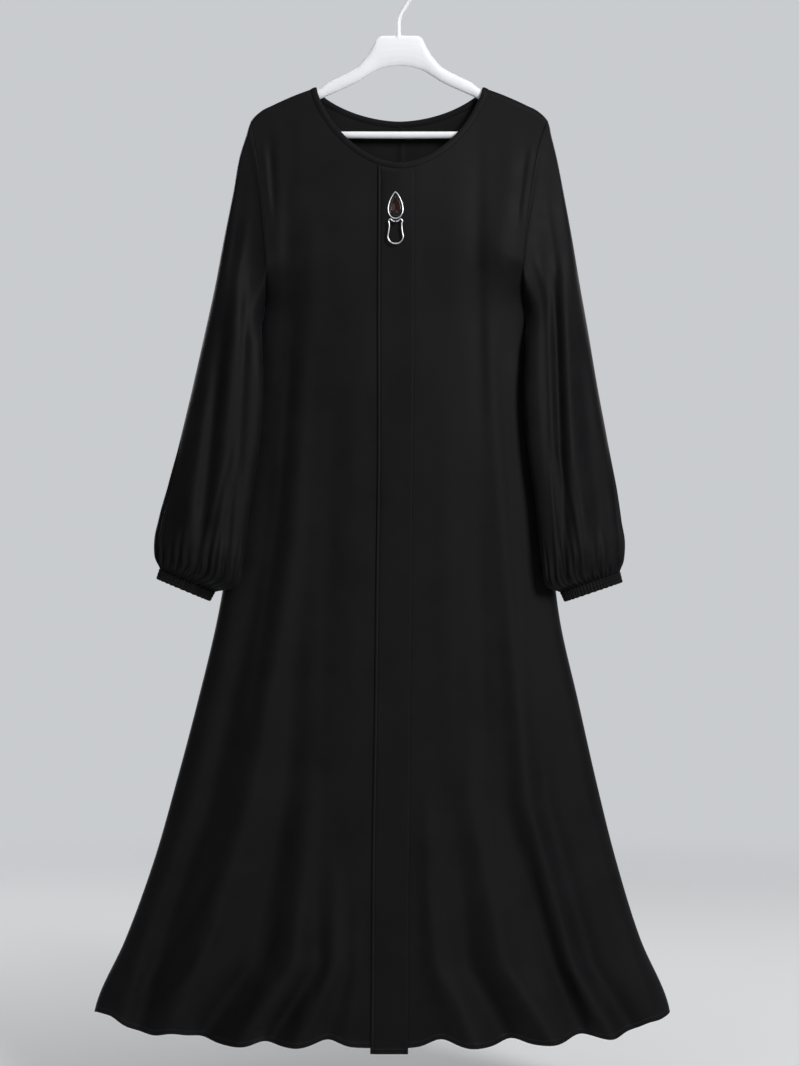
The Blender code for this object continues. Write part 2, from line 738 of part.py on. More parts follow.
def add_cuff(name, side, end, material):
    """A narrow ruched cuff, ribbed outside over a plain inside."""
    axis = np.array(cuff_axis(end))
    crown = np.array([end.crown_x, 0, end.crown_z])
    under = np.array([end.under_x, 0, end.under_z])
    inboard_y = inboard_line(end.under_x, end.under_z, end.depth)
    rows = (CUFF_HEIGHT, CUFF_HEIGHT * 0.5, 0)
    count = 2 * CUFF_RIBS
    outer = np.zeros((len(rows), count, 3))
    inner = np.zeros_like(outer)
    half_width = np.linalg.norm(under - crown) / 2
    outward = (under - crown) / (2 * half_width)
    for row, down in enumerate(rows):
        narrow = 1 - 0.03 * down / CUFF_HEIGHT
        middle = (crown + under) / 2 + axis * (down + GAP + 0.9)
        for column in range(count):
            turn = 2 * math.pi * column / count
            bulge = math.copysign(abs(math.sin(turn)) ** 0.85, math.sin(turn))
            line_y = end.crown_y + (inboard_y - end.crown_y) * (1 - math.cos(turn)) / 2
            rib = CUFF_RIB_RISE * (1 if column % 2 else 0)
            for grid, reach in ((outer, rib), (inner, -CUFF_WALL)):
                across_reach = (half_width * narrow + reach) * -math.cos(turn)
                forward = line_y - (end.depth * narrow + reach) * bulge
                grid[row, column] = middle + outward * across_reach + np.array([0, forward, 0])
    if side > 0:
        outer, inner = outer[:, ::-1], inner[:, ::-1]
    points, faces = walled(outer, inner, True)
    return add_object(name, points, faces, material)


# ---------------------------------------------------------------- wires and pendant


def sweep(path, radius, sides, closed):
    """Vertices and faces of a round wire along a path."""
    path = np.asarray(path, float)
    count = len(path)
    before = np.roll(path, 1, axis=0)
    after = np.roll(path, -1, axis=0)
    if not closed:
        before[0], after[-1] = path[0], path[-1]
    tangent = after - before
    tangent /= np.linalg.norm(tangent, axis=1, keepdims=True)
    guide = np.array([0.0, 1.0, 0.0]) if abs(tangent[:, 1]).max() < 0.9 else np.array([1.0, 0.0, 0.0])
    points = []
    for place, direction in zip(path, tangent):
        first = np.cross(direction, guide)
        first /= np.linalg.norm(first)
        second = np.cross(direction, first)
        for k in range(sides):
            turn = 2 * math.pi * k / sides
            points.append(place + radius * (first * math.cos(turn) + second * math.sin(turn)))
    faces = []
    for ring in range(count if closed else count - 1):
        here, there = ring * sides, (ring + 1) % count * sides
        for k in range(sides):
            following = (k + 1) % sides
            faces.append([here + k, here + following, there + following, there + k])
    if not closed:
        faces.append(list(reversed(range(sides))))
        faces.append([(count - 1) * sides + k for k in range(sides)])
    return np.array(points), faces


def teardrop(scale, count):
    """Outline of the pear shape, point up, as x and z about its own middle."""
    outline = []
    for k in range(count):
        turn = 2 * math.pi * (k + 0.5) / count
        x = math.sin(turn) * math.sqrt(math.sin(turn / 2) ** 2 + 0.17) * 1.04
        outline.append((x * scale[0], math.cos(turn) * scale[1]))
    return outline


def laid_on_placket(x, z, proud):
    """A point a given height above the placket's face."""
    return float(placket_y(x, z)) - proud


def pendant_points(outline, proud):
    """Points of an outline laid over the placket."""
    middle_z = PENDANT_TOP - PENDANT_HEIGHT / 2
    return np.array([(PENDANT_X + x, laid_on_placket(PENDANT_X + x, middle_z + z, proud), middle_z + z)
                     for x, z in outline])


def add_pendant(silver, enamel, stone):
    """Teardrop setting on the placket: wire frame, back plate and faceted stone."""
    half = (PENDANT_WIDTH / 2 - FRAME_WIRE, PENDANT_HEIGHT / 2 - FRAME_WIRE)
    outline = teardrop(half, 36)
    points, faces = sweep(pendant_points(outline, GAP + 0.2 + FRAME_WIRE), FRAME_WIRE, 6, True)
    add_object("pendant_frame", points, faces, silver)

    plate = teardrop((half[0] - FRAME_WIRE - 0.9, half[1] - FRAME_WIRE - 2.4), 28)
    add_stack("pendant_plate", plate, ((GAP, 1.0), (GAP + 1.2, 1.0)), enamel)

    cut = teardrop((half[0] * 0.62, half[1] * 0.66), 16)
    base = 2 * GAP + 1.2
    add_stack("pendant_stone", cut, ((base, 0.94), (base + 1.1, 1.0), (base + 3.2, 0.5)), stone)


def add_stack(name, outline, levels, material):
    """Closed solid through copies of an outline, each at a height and a scale."""
    count = len(outline)
    rings = [pendant_points([(x * size, z * size) for x, z in outline], proud) for proud, size in levels]
    faces = [list(range(count)), [(len(levels) - 1) * count + k for k in reversed(range(count))]]
    for level in range(len(levels) - 1):
        for k in range(count):
            following = (k + 1) % count
            a, b = level * count, (level + 1) * count
            faces.append([a + k, b + k, b + following, a + following])
    piece = add_object(name, np.concatenate(rings), faces, material)
    piece.data.shade_flat()
    return piece


LUG_TOP = PENDANT_TOP - PENDANT_HEIGHT - GAP
LUG_Z = LUG_TOP - LUG_RISE - LUG_WIRE
PIVOT_Z = LUG_Z - (LUG_RISE - LUG_WIRE - RING_WIRE - GAP)


def pivot_y():
    """Depth of the ring's hinge line."""
    return laid_on_placket(PENDANT_X, LUG_Z, 2 * GAP + LUG_REACH + LUG_WIRE)


def add_lug(silver):
    """The small eye below the teardrop that carries the pull ring."""
    y = pivot_y()
    turns = [math.pi * k / 8 for k in range(16)]
    path = [(PENDANT_X, y + LUG_REACH * math.cos(turn), LUG_Z + LUG_RISE * math.sin(turn))
            for turn in turns]
    points, faces = sweep(path, LUG_WIRE, 6, True)
    add_object("pendant_lug", points, faces, silver)


RING_OUTLINE = ((0, 0), (3.2, 0.3), (5.8, 1.7), (7.4, 3.7), (9.2, 4.7), (10.8, 3.6), (10.9, 1.0),
                (10.2, -3.8), (10.6, -9.4), (11.4, -14.8), (11.3, -19.8), (9.6, -24.8), (6.4, -28.6),
                (2.6, -30.7))
RING_BOTTOM = -31.1


def add_pull_ring(silver):
    """A pear-shaped wire ring that hangs from the lug and swings about its top bar."""
    right = [np.array(p, float) for p in RING_OUTLINE]
    left = [np.array((-x, z)) for x, z in reversed(RING_OUTLINE[1:])]
    corners = right + [np.array((0.0, RING_BOTTOM))] + left
    path = []
    y = pivot_y()
    for k, here in enumerate(corners):
        before, after = corners[k - 1], corners[(k + 1) % len(corners)]
        beyond = corners[(k + 2) % len(corners)]
        for t in (0.0, 0.5):
            square = 2 * before - 5 * here + 4 * after - beyond
            cube = 3 * here - before - 3 * after + beyond
            point = 0.5 * (2 * here + (after - before) * t + square * t**2 + cube * t**3)
            path.append((PENDANT_X + point[0], y, PIVOT_Z + point[1]))
    points, faces = sweep(path, RING_WIRE, 6, True)
    add_object("pull_ring", points, faces, silver, moved=(PENDANT_X, y, PIVOT_Z))


# ---------------------------------------------------------------- hanger


def hanger_slices():
    """Upright sections of the block and arms on one side, from the middle out."""
    slices = list(BLOCK)
    for x in (122, 140, 158, 176, 188, 195, 199):
        top = float(ridge(x)) - ARM_CLEARANCE
        slices.append(Slice(x, top, top - 15.5))
    tip_top = float(ridge(ARM_REACH)) - ARM_CLEARANCE
    slices[-1] = Slice(ARM_REACH, tip_top - 3, tip_top - 13)
    return slices


def add_arms(white):
    """The block and both arms, lofted through upright sections with rounded edges."""
    half = hanger_slices()
    slices = [Slice(-row.x, row.top, row.bottom) for row in reversed(half[1:])] + half
    points = []
    for row in slices:
        middle, reach = (row.top + row.bottom) / 2, (row.top - row.bottom) / 2
        deep, flat, tall = ARM_HALF_DEPTH, ARM_HALF_DEPTH - ARM_EDGE, reach - ARM_EDGE
        for y, z in ((-deep, tall), (-flat, reach), (flat, reach), (deep, tall),
                     (deep, -tall), (flat, -reach), (-flat, -reach), (-deep, -tall)):
            points.append((row.x, y, middle + z))
    faces = []
    sides = 8
    for ring in range(len(slices) - 1):
        for k in range(sides):
            following = (k + 1) % sides
            a, b = ring * sides, (ring + 1) * sides
            faces.append([a + k, a + following, b + following, b + k])
    faces.append(list(reversed(range(sides))))
    faces.append([(len(slices) - 1) * sides + k for k in range(sides)])
    return add_object("hanger", np.array(points), faces, white)


def hook_path():
    """Centre line of the hook: up the shank, over to the right, round and down to its tip."""
    path = [(SHANK_X, 0, BLOCK_TOP - 8), (SHANK_X, 0, BLOCK_TOP + 12), (SHANK_X, 0, BLOCK_TOP + 20)]
    path += [(SHANK_X + 1.6, 0, BLOCK_TOP + 26.5), (SHANK_X + 4.8, 0, BLOCK_TOP + 32.5)]
    start, stop = math.radians(-52), math.radians(192)
    for k in range(25):
        turn = start + (stop - start) * k / 24
        path.append((HOOK_BEND * math.cos(turn), 0, HOOK_CENTRE_Z + HOOK_BEND * math.sin(turn)))
    return path


def add_hanger(white):
    """Block, arms, end posts, trouser bar and hook, joined in one moulded piece."""
    hanger = add_arms(white)
    bar = [(x, 0, BAR_Z) for x in np.linspace(-BAR_HALF, BAR_HALF, 5)]
    cutters = [("hanger_bar_form", bar, BAR_RADIUS, 12), ("hanger_hook_form", hook_path(), HOOK_RADIUS, 12)]
    for side in (-1, 1):
        x = side * (BAR_HALF - 5.2)
        cutters.append((f"hanger_post_form_{side + 1}", [(x, 0, BAR_Z + 0.4), (x, 0, BAR_Z + 22)], 5.0, 12))
    for name, path, radius, sides in cutters:
        form = add_object(name, *sweep(path, radius, sides, False), white)
        form.hide_render = True
        form.display_type = "WIRE"
        join = hanger.modifiers.new(name, "BOOLEAN")
        join.operation = "UNION"
        join.solver = "EXACT"
        join.object = form
    return hanger


# ---------------------------------------------------------------- materials and main


def make_material(name, colour, roughness, metallic=0.0):
    """A Principled material."""
    material = bpy.data.materials.new(name)
    material.use_nodes = True
    shader = material.node_tree.nodes["Principled BSDF"]
    shader.inputs["Base Color"].default_value = (*colour, 1)
    shader.inputs["Roughness"].default_value = roughness
    shader.inputs["Metallic"].default_value = metallic
    material.diffuse_color = (*colour, 1)
    return material


def main():
    """Builds every piece of the garment and its hanger."""
    for old in list(bpy.data.objects):
        bpy.data.objects.remove(old, do_unlink=True)
    cloth = make_material("black_crepe", (0.012, 0.012, 0.014), 0.72)
    white = make_material("white_plastic", (0.82, 0.83, 0.85), 0.35)
    silver = make_material("silver_metal", (0.75, 0.76, 0.78), 0.22, 1.0)
    enamel = make_material("black_enamel", (0.01, 0.01, 0.012), 0.3)
    stone = make_material("smoky_stone", (0.09, 0.05, 0.05), 0.08)

    add_body(cloth)
    add_placket(cloth)
    add_binding(cloth)
    for name, side, rings, creases in (("right", -1, SLEEVE_RIGHT, CREASES_RIGHT),
                                       ("left", 1, SLEEVE_LEFT, CREASES_LEFT)):
        add_sleeve(f"sleeve_{name}", side, rings, creases, cloth)
        add_cuff(f"cuff_{name}", side, rings[-1], cloth)
    add_pendant(silver, enamel, stone)
    add_lug(silver)
    add_pull_ring(silver)
    add_hanger(white)


main()
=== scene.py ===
"""Abaya on a clothes hanger: fine cloth, sewing, pendant, moulded hanger and a plain studio."""

import logging
import math
from dataclasses import dataclass, field
from enum import Enum
from typing import Callable, Sequence

import bmesh
import bpy
import numpy as np
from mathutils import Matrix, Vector


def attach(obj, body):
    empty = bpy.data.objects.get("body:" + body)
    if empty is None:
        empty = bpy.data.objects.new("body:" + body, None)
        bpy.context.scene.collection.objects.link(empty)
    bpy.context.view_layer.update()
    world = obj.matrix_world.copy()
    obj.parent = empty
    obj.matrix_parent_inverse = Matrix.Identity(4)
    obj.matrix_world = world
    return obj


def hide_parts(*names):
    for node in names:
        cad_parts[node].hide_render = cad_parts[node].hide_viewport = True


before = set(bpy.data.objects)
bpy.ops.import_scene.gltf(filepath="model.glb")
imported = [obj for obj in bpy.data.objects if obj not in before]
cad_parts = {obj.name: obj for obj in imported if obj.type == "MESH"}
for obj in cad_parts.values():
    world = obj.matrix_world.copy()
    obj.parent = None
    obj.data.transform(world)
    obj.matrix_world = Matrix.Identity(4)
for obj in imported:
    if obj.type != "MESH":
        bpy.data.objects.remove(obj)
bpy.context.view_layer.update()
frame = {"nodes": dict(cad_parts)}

log = logging.getLogger("abaya")

MM = 0.001
Array = np.ndarray


class Side(Enum):
    """Side of the garment; the value is the sign of x."""

    RIGHT = -1
    LEFT = 1


class Facing(Enum):
    """Front or back of the garment; the value is the sign of y."""

    FRONT = -1
    BACK = 1


# ---------------------------------------------------------------- tables of the form, in millimetres


@dataclass(frozen=True)
class Section:
    """A level section of the body."""

    z: float
    left: float
    right: float
    front: float
    back: float


BODY = (
    Section(-1513, -440, 390, 62, 46),
    Section(-1466, -432, 383, 61, 45),
    Section(-1373, -390.5, 343.5, 57, 42),
    Section(-1259, -349, 308, 52, 39),
    Section(-1145, -316.5, 279.5, 48, 36),
    Section(-1032, -286.7, 254, 44, 33),
    Section(-918, -259.6, 228.3, 42, 31),
    Section(-811, -241, 215.5, 40, 30),
    Section(-666, -221, 200, 38, 29),
    Section(-593, -212.7, 191.3, 37, 28),
    Section(-520, -202.7, 184.2, 36, 28),
    Section(-470, -195.6, 180, 35, 27),
    Section(-445, -190.6, 176.5, 35, 27),
    Section(-420, -188, 174.5, 35, 27),
    Section(-367, -190.3, 178, 35, 27),
    Section(-309, -194.6, 186, 35, 27),
    Section(-225, -207.7, 203, 35, 27),
    Section(-207, -210, 210, 35, 27),
    Section(-160, -210, 210, 35, 27),
)


@dataclass(frozen=True)
class Ridge:
    """A point of the shoulder ridge."""

    x: float
    z: float


SHOULDER = (Ridge(0, -112), Ridge(60, -136), Ridge(118, -160), Ridge(150, -172), Ridge(180, -185.5),
            Ridge(198, -195), Ridge(210, -207), Ridge(218, -222))


@dataclass(frozen=True)
class Flute:
    """A soft fold down the skirt, which grows towards the hem."""

    begins: float
    chest: float
    waist: float
    knee: float
    shin: float
    hem: float
    width: float
    rise: float


FLUTE_HEIGHTS = (-474, -819, -1170, -1400, -1509)

FRONT_FLUTES = (
    Flute(-474, -184, -226, -301, -371, -397, 22, 12),
    Flute(-474, -167, -189, -268, -347, -373, 20, -15),
    Flute(-330, -134, -154, -212, -283, -336, 27, 22),
    Flute(-900, -118, -125, -159, -205, -284, 24, -19),
    Flute(-1090, -111, -118, -127, -151, -224, 24, 19),
    Flute(-1230, -103, -106, -112, -116, -184, 18, -14),
    Flute(-1230, -76, -83, -88, -93, -145, 18, 13),
    Flute(-1360, -69, -69, -69, -72, -102, 14, -8),
    Flute(-1100, 29, 32, 34, 54, 104, 23, 15),
    Flute(-1180, 73, 73, 74, 96, 156, 20, -15),
    Flute(-1050, 96, 97, 99, 145, 216, 25, 18),
    Flute(-1080, 140, 144, 148, 218, 264, 21, -16),
    Flute(-330, 125, 152, 178, 242, 302, 21, 16),
    Flute(-1000, 168, 184, 206, 267, 337, 20, -14),
    Flute(-474, 169, 204, 270, 337, 367, 22, 11),
)

BACK_FLUTES = (
    Flute(-500, -160, -196, -270, -330, -378, 28, 13),
    Flute(-900, -130, -150, -205, -262, -318, 25, -12),
    Flute(-620, -95, -112, -148, -192, -232, 27, 15),
    Flute(-1100, -60, -70, -92, -120, -150, 24, -12),
    Flute(-820, -30, -34, -42, -54, -70, 24, 11),
    Flute(-1150, 22, 24, 28, 34, 40, 22, -11),
    Flute(-760, 62, 70, 92, 116, 140, 26, 14),
    Flute(-1040, 98, 112, 146, 184, 214, 24, -12),
    Flute(-560, 128, 152, 204, 250, 286, 27, 14),
    Flute(-1000, 150, 176, 238, 296, 338, 22, -9),
)


@dataclass(frozen=True)
class Scallop:
    """A place where the hem rises between two folds."""

    x: float
    width: float
    rise: float


FRONT_SCALLOPS = (Scallop(-408, 22, 10), Scallop(-318, 24, 10), Scallop(-280, 16, 4), Scallop(-192, 16, 5),
                  Scallop(-100, 22, 10), Scallop(58, 22, 12), Scallop(158, 20, 8), Scallop(252, 20, 7),
                  Scallop(300, 14, -3), Scallop(352, 14, 4))
BACK_SCALLOPS = (Scallop(-318, 24, 8), Scallop(-192, 20, 8), Scallop(-60, 22, 7), Scallop(92, 22, 8),
                 Scallop(214, 22, 8))


@dataclass(frozen=True)
class Crease:
    """A crease: a run of x against z, uneven across its width."""

    z: tuple[float, ...]
    x: tuple[float, ...]
    inner: float        # width towards smaller x
    outer: float        # width towards larger x
    rise: float
    fade: float = 60.0  # length over which each end runs out


FRONT_CREASES = (
    Crease((-358, -430, -509), (-123, -122, -121), 14, 20, 2.2),
    Crease((-358, -430, -509), (141, 142, 145), 18, 14, 2.2),
    Crease((-300, -420, -640), (-160, -158, -166), 10, 13, -2.0, 90),
    Crease((-280, -400, -620), (112, 110, 116), 13, 10, -2.0, 90),
    Crease((-250, -272, -344), (-193, -190, -182.5), 3.5, 4.0, 1.5, 22),
    Crease((-250, -290, -335), (-183, -181, -178), 4.0, 5.0, -2.2, 26),
    Crease((-236, -302, -390), (-173, -168, -171), 10.0, 16.0, 1.5, 50),
    Crease((-250, -302, -340), (188, 179, 173), 3.5, 3.0, 1.5, 22),
    Crease((-262, -316, -350), (178, 172, 168), 5.0, 4.0, -2.2, 26),
    Crease((-255, -330, -400), (160, 154, 153), 15.0, 10.0, 1.4, 46),
    Crease((-250, -330, -430), (-78, -84, -90), 22, 26, 1.0, 60),
    Crease((-300, -380, -470), (72, 76, 80), 24, 22, 1.0, 60),
    Crease((-520, -760, -1040), (-150, -168, -205), 8, 16, -3.2, 120),
    Crease((-470, -700, -1000), (-196, -214, -256), 9, 12, 2.0, 90),
    Crease((-640, -860, -1100), (-96, -101, -112), 16, 14, -1.6, 120),
    Crease((-600, -820, -1060), (-62, -66, -70), 18, 18, 1.2, 120),
    Crease((-560, -760, -1000), (146, 156, 170), 16, 8, -2.8, 120),
    Crease((-700, -900, -1120), (66, 68, 74), 17, 15, 1.3, 120),
    Crease((-760, -960, -1160), (112, 116, 124), 14, 12, -1.6, 120),
    Crease((-1290, -1386, -1444), (-268, -325, -372), 14, 10, -3.0, 55),
    Crease((-1350, -1417, -1462), (-256, -296, -341), 9, 9, 2.4, 45),
    Crease((-1330, -1402, -1486), (-174, -190, -226), 11, 8, -2.4, 50),
    Crease((-1400, -1449, -1504), (-118, -159, -205), 10, 9, 2.0, 40),
    Crease((-1390, -1467, -1498), (-104, -125, -156), 8, 7, -2.2, 40),
    Crease((-1330, -1420, -1500), (-60, -64, -72), 7, 8, 1.6, 50),
    Crease((-1260, -1380, -1490), (44, 58, 84), 7, 9, -1.8, 60),
    Crease((-1240, -1350, -1470), (180, 206, 240), 8, 7, -2.0, 70),
    Crease((-1380, -1440, -1500), (232, 256, 284), 6, 6, 1.8, 45),
    Crease((-1300, -1400, -1490), (300, 326, 352), 7, 7, -1.8, 60),
)

BACK_CREASES = (
    Crease((-240, -330, -420), (-150, -158, -164), 9, 12, 2.0, 50),
    Crease((-240, -330, -420), (146, 152, 156), 12, 9, 2.0, 50),
    Crease((-250, -300, -360), (-186, -184, -181), 4, 5, -1.8, 26),
    Crease((-250, -300, -360), (184, 178, 175), 5, 4, -1.8, 26),
    Crease((-260, -420, -640), (-60, -66, -72), 22, 18, 1.5, 110),
    Crease((-260, -420, -640), (70, 72, 80), 18, 22, 1.5, 110),
    Crease((-420, -640, -900), (-124, -136, -158), 10, 15, -2.4, 110),
    Crease((-400, -620, -880), (112, 122, 142), 15, 10, -2.4, 110),
    Crease((-1180, -1320, -1460), (-170, -196, -232), 8, 7, -1.8, 60),
    Crease((-1180, -1320, -1460), (118, 134, 160), 8, 7, -1.8, 60),
    Crease((-1220, -1340, -1480), (18, 20, 22), 7, 7, 1.5, 60),
    Crease((-1200, -1330, -1460), (250, 280, 316), 7, 7, -1.5, 60),
)


# heights above a turned edge, in millimetres, where the cloth rolls over and is stitched
HEM_ROWS = (0.0, 1.5, 3.5, 5.5, 7.0, 8.0, 9.0, 11.0)
HEM_STITCH_ROW = 4          # the row of HEM_ROWS that the stitches follow

# how the side seam opens into the armhole, in millimetres
ARMHOLE_DROP = 70           # how far below the underarm it starts, towards the middle
ARMHOLE_SOFT = 60           # the height over which it opens at the side
ARMHOLE_SPREAD = 170        # how much longer that height is towards the middle


@dataclass(frozen=True)
class Band:
    """Edges of the placket at one height."""

    z: float
    left: float
    right: float


PLACKET = (Band(-1521, -41, 12), Band(-1211, -38, 14), Band(-762, -32, 18.5), Band(-290, -31, 21),
           Band(-260, -31, 21))


@dataclass(frozen=True)
class Ring:
    """A ring of a sleeve, from the crown line to the underarm line."""

    down: float
    crown_x: float
    crown_z: float
    under_x: float
    under_z: float
    crown_y: float
    depth: float


SLEEVE_RIGHT = (
    Ring(0.00, -210.5, -207, -197.3, -470.3, 0, 24),
    Ring(0.07, -227.5, -258, -193.5, -479, -2, 24),
    Ring(0.14, -236.5, -310, -194.0, -487, -4, 24),
    Ring(0.22, -248.5, -372, -194.6, -495, -6, 24),
    Ring(0.31, -260.8, -440, -194.6, -508, -8, 24),
    Ring(0.42, -276, -510, -193.0, -536, -9, 24),
    Ring(0.54, -293, -586, -192.0, -598, -10, 25),
    Ring(0.66, -311.5, -664, -197.0, -672, -11, 26),
    Ring(0.76, -328, -730, -208.0, -742, -12, 28),
    Ring(0.84, -339, -772, -215.5, -800, -13, 30),
    Ring(0.90, -344.5, -800, -220.5, -838, -14, 31),
    Ring(0.95, -344.5, -825, -228.0, -866, -16, 27),
    Ring(1.00, -338.5, -844.5, -262, -877, -18, 15),
)

SLEEVE_LEFT = (
    Ring(0.00, 210.5, -207, 181.7, -470.3, 0, 24),
    Ring(0.07, 223.5, -258, 178.6, -480, -2, 24),
    Ring(0.14, 233.5, -310, 178.9, -487, -4, 24),
    Ring(0.22, 244.5, -372, 179.4, -495, -6, 24),
    Ring(0.31, 255.5, -440, 179.4, -508, -8, 24),
    Ring(0.42, 267.8, -510, 178.0, -536, -9, 24),
    Ring(0.54, 280.5, -586, 175.5, -598, -10, 25),
    Ring(0.66, 295, -664, 180.5, -672, -11, 26),
    Ring(0.76, 306, -730, 190.0, -742, -12, 28),
    Ring(0.84, 313, -778, 196.0, -800, -13, 30),
    Ring(0.90, 316.8, -806, 200.5, -838, -14, 31),
    Ring(0.95, 315.5, -830, 206.0, -866, -16, 27),
    Ring(1.00, 311.2, -849, 228.5, -877.5, -18, 15),
)

SLEEVE_RIGHT_FRONT = (
    Crease((-464, -668, -800), (-229, -246, -258), 10, 12, 5.0, 60),
    Crease((-520, -668, -800), (-251, -266, -277), 10, 9, -6.0, 60),
    Crease((-590, -740, -805), (-270, -292, -300), 12, 12, 5.0, 60),
    Crease((-230, -302, -373, -440), (-213, -217, -223, -230), 4, 5, 2.2, 40),
    Crease((-260, -340, -430), (-221, -230, -240), 4, 5, -2.2, 50),
    Crease((-420, -560, -700), (-214, -218, -224), 6, 7, -2.8, 60),
    Crease((-640, -740, -820), (-306, -318, -326), 7, 8, -2.2, 50),
    Crease((-700, -770, -830), (-236, -243, -252), 5, 6, -2.4, 40),
)
SLEEVE_RIGHT_BACK = (
    Crease((-440, -660, -800), (-232, -252, -270), 12, 13, 5.0, 60),
    Crease((-480, -680, -800), (-256, -280, -300), 12, 11, -5.0, 60),
    Crease((-300, -400, -520), (-226, -238, -252), 6, 7, -2.2, 50),
)
SLEEVE_LEFT_FRONT = (
    Crease((-450, -690, -836), (219, 226, 236), 8, 6, -9.0, 60),
    Crease((-450, -690, -820), (234, 242, 256), 10, 14, 6.0, 60),
    Crease((-560, -700, -800), (258, 274, 284), 12, 12, -4.0, 60),
    Crease((-240, -300, -373, -440), (201, 193, 196, 204), 4, 4, 2.2, 40),
    Crease((-270, -340, -430), (213, 217, 224), 4, 5, -2.6, 50),
    Crease((-420, -560, -700), (202, 204, 208), 6, 6, -2.6, 60),
    Crease((-660, -750, -830), (282, 292, 300), 7, 8, -2.0, 50),
    Crease((-720, -780, -840), (244, 252, 262), 5, 5, -2.0, 36),
)
SLEEVE_LEFT_BACK = (
    Crease((-440, -660, -800), (222, 236, 250), 13, 12, 5.0, 60),
    Crease((-480, -680, -800), (246, 262, 276), 11, 12, -5.0, 60),
    Crease((-300, -400, -520), (216, 226, 236), 6, 7, -2.2, 50),
)


@dataclass(frozen=True)
class Slice:
    """An upright section of the hanger's block and arms."""

    x: float
    top: float
    bottom: float


BLOCK = (Slice(0, -86, -129.5), Slice(16, -86, -131), Slice(28, -86.5, -134.5), Slice(33, -90, -136.5),
         Slice(37, -99, -138.5), Slice(45, -113.5, -143.5), Slice(59, -130, -152.5),
         Slice(73, -138.5, -159.5), Slice(88, -145.5, -166), Slice(103, -153, -172.5),
         Slice(112, -160.5, -177))


# ---------------------------------------------------------------- curves


def along(rows: Sequence[object], key: str, name: str, at: Array) -> Array:
    """Reads one column of a table on a smooth curve through its rows.

    Args:
        rows: Rows of the table.
        key: Column that orders the rows.
        name: Column to read.
        at: Values of the key to read at.

    Returns:
        The column's values there.
    """
    ordered = sorted(rows, key=lambda row: getattr(row, key))
    keys = np.array([getattr(row, key) for row in ordered], float)
    values = np.array([getattr(row, name) for row in ordered], float)
    slopes = np.gradient(values, keys)
    at = np.clip(np.asarray(at, float), keys[0], keys[-1])
    i = np.clip(np.searchsorted(keys, at, side="right") - 1, 0, len(keys) - 2)
    span = keys[i + 1] - keys[i]
    t = (at - keys[i]) / span
    return ((2 * t**3 - 3 * t**2 + 1) * values[i] + (t**3 - 2 * t**2 + t) * span * slopes[i]
            + (3 * t**2 - 2 * t**3) * values[i + 1] + (t**3 - t**2) * span * slopes[i + 1])


def ease(t: Array) -> Array:
    """Smooth step from 0 to 1."""
    t = np.clip(t, 0, 1)
    return t * t * (3 - 2 * t)


def creased(creases: Sequence[Crease], x: Array, z: Array) -> Array:
    """Sums a table of creases.

    Args:
        creases: The creases.
        x: Places across.
        z: Heights, of the same shape.

    Returns:
        How far the cloth rises out of its plain form at each place.
    """
    total = np.zeros(np.broadcast(x, z).shape)
    for crease in creases:
        heights = np.array(crease.z[::-1], float)
        path = np.interp(z, heights, np.array(crease.x[::-1], float))
        gap = x - path
        width = np.where(gap < 0, crease.inner, crease.outer)
        run = ease((z - heights[0] + crease.fade) / (2 * crease.fade))
        run = run * ease((heights[-1] + crease.fade - z) / (2 * crease.fade))
        total += crease.rise * run * np.exp(-((gap / width) ** 2))
    return total


def restless(x: Array, z: Array, scale: float, seed: float) -> Array:
    """Gentle unevenness, between about -1 and 1, from a few crossing waves.

    Args:
        x: Place across, in millimetres.
        z: Height, in millimetres.
        scale: Length of the longest wave, in millimetres.
        seed: Number that sets which waves cross.

    Returns:
        The unevenness at each point.
    """
    total = np.zeros(np.broadcast(x, z).shape)
    for k in range(5):
        turn = 0.35 + 0.9 * k + seed
        u = (x * math.cos(turn) * 1.6 + z * math.sin(turn) * 0.7) / scale
        total += np.sin(u * (1 + 0.37 * k) * 2 * math.pi + 1.7 * k * seed + k) / (1 + 0.5 * k)
    return total / 2.4


# ---------------------------------------------------------------- meshes


def normals_of(points: Array, around: bool) -> Array:
    """Unit normals of a grid of points.

    Args:
        points: A grid of points, row by row.
        around: Whether each row closes on itself.

    Returns:
        One unit normal for each point.
    """
    if around:
        wrapped = np.concatenate([points[:, -1:], points, points[:, :1]], axis=1)
        across_row = wrapped[:, 2:] - wrapped[:, :-2]
    else:
        across_row = np.gradient(points, axis=1)
    normals = np.cross(across_row, np.gradient(points, axis=0))
    return normals / np.maximum(np.linalg.norm(normals, axis=2, keepdims=True), 1e-9)


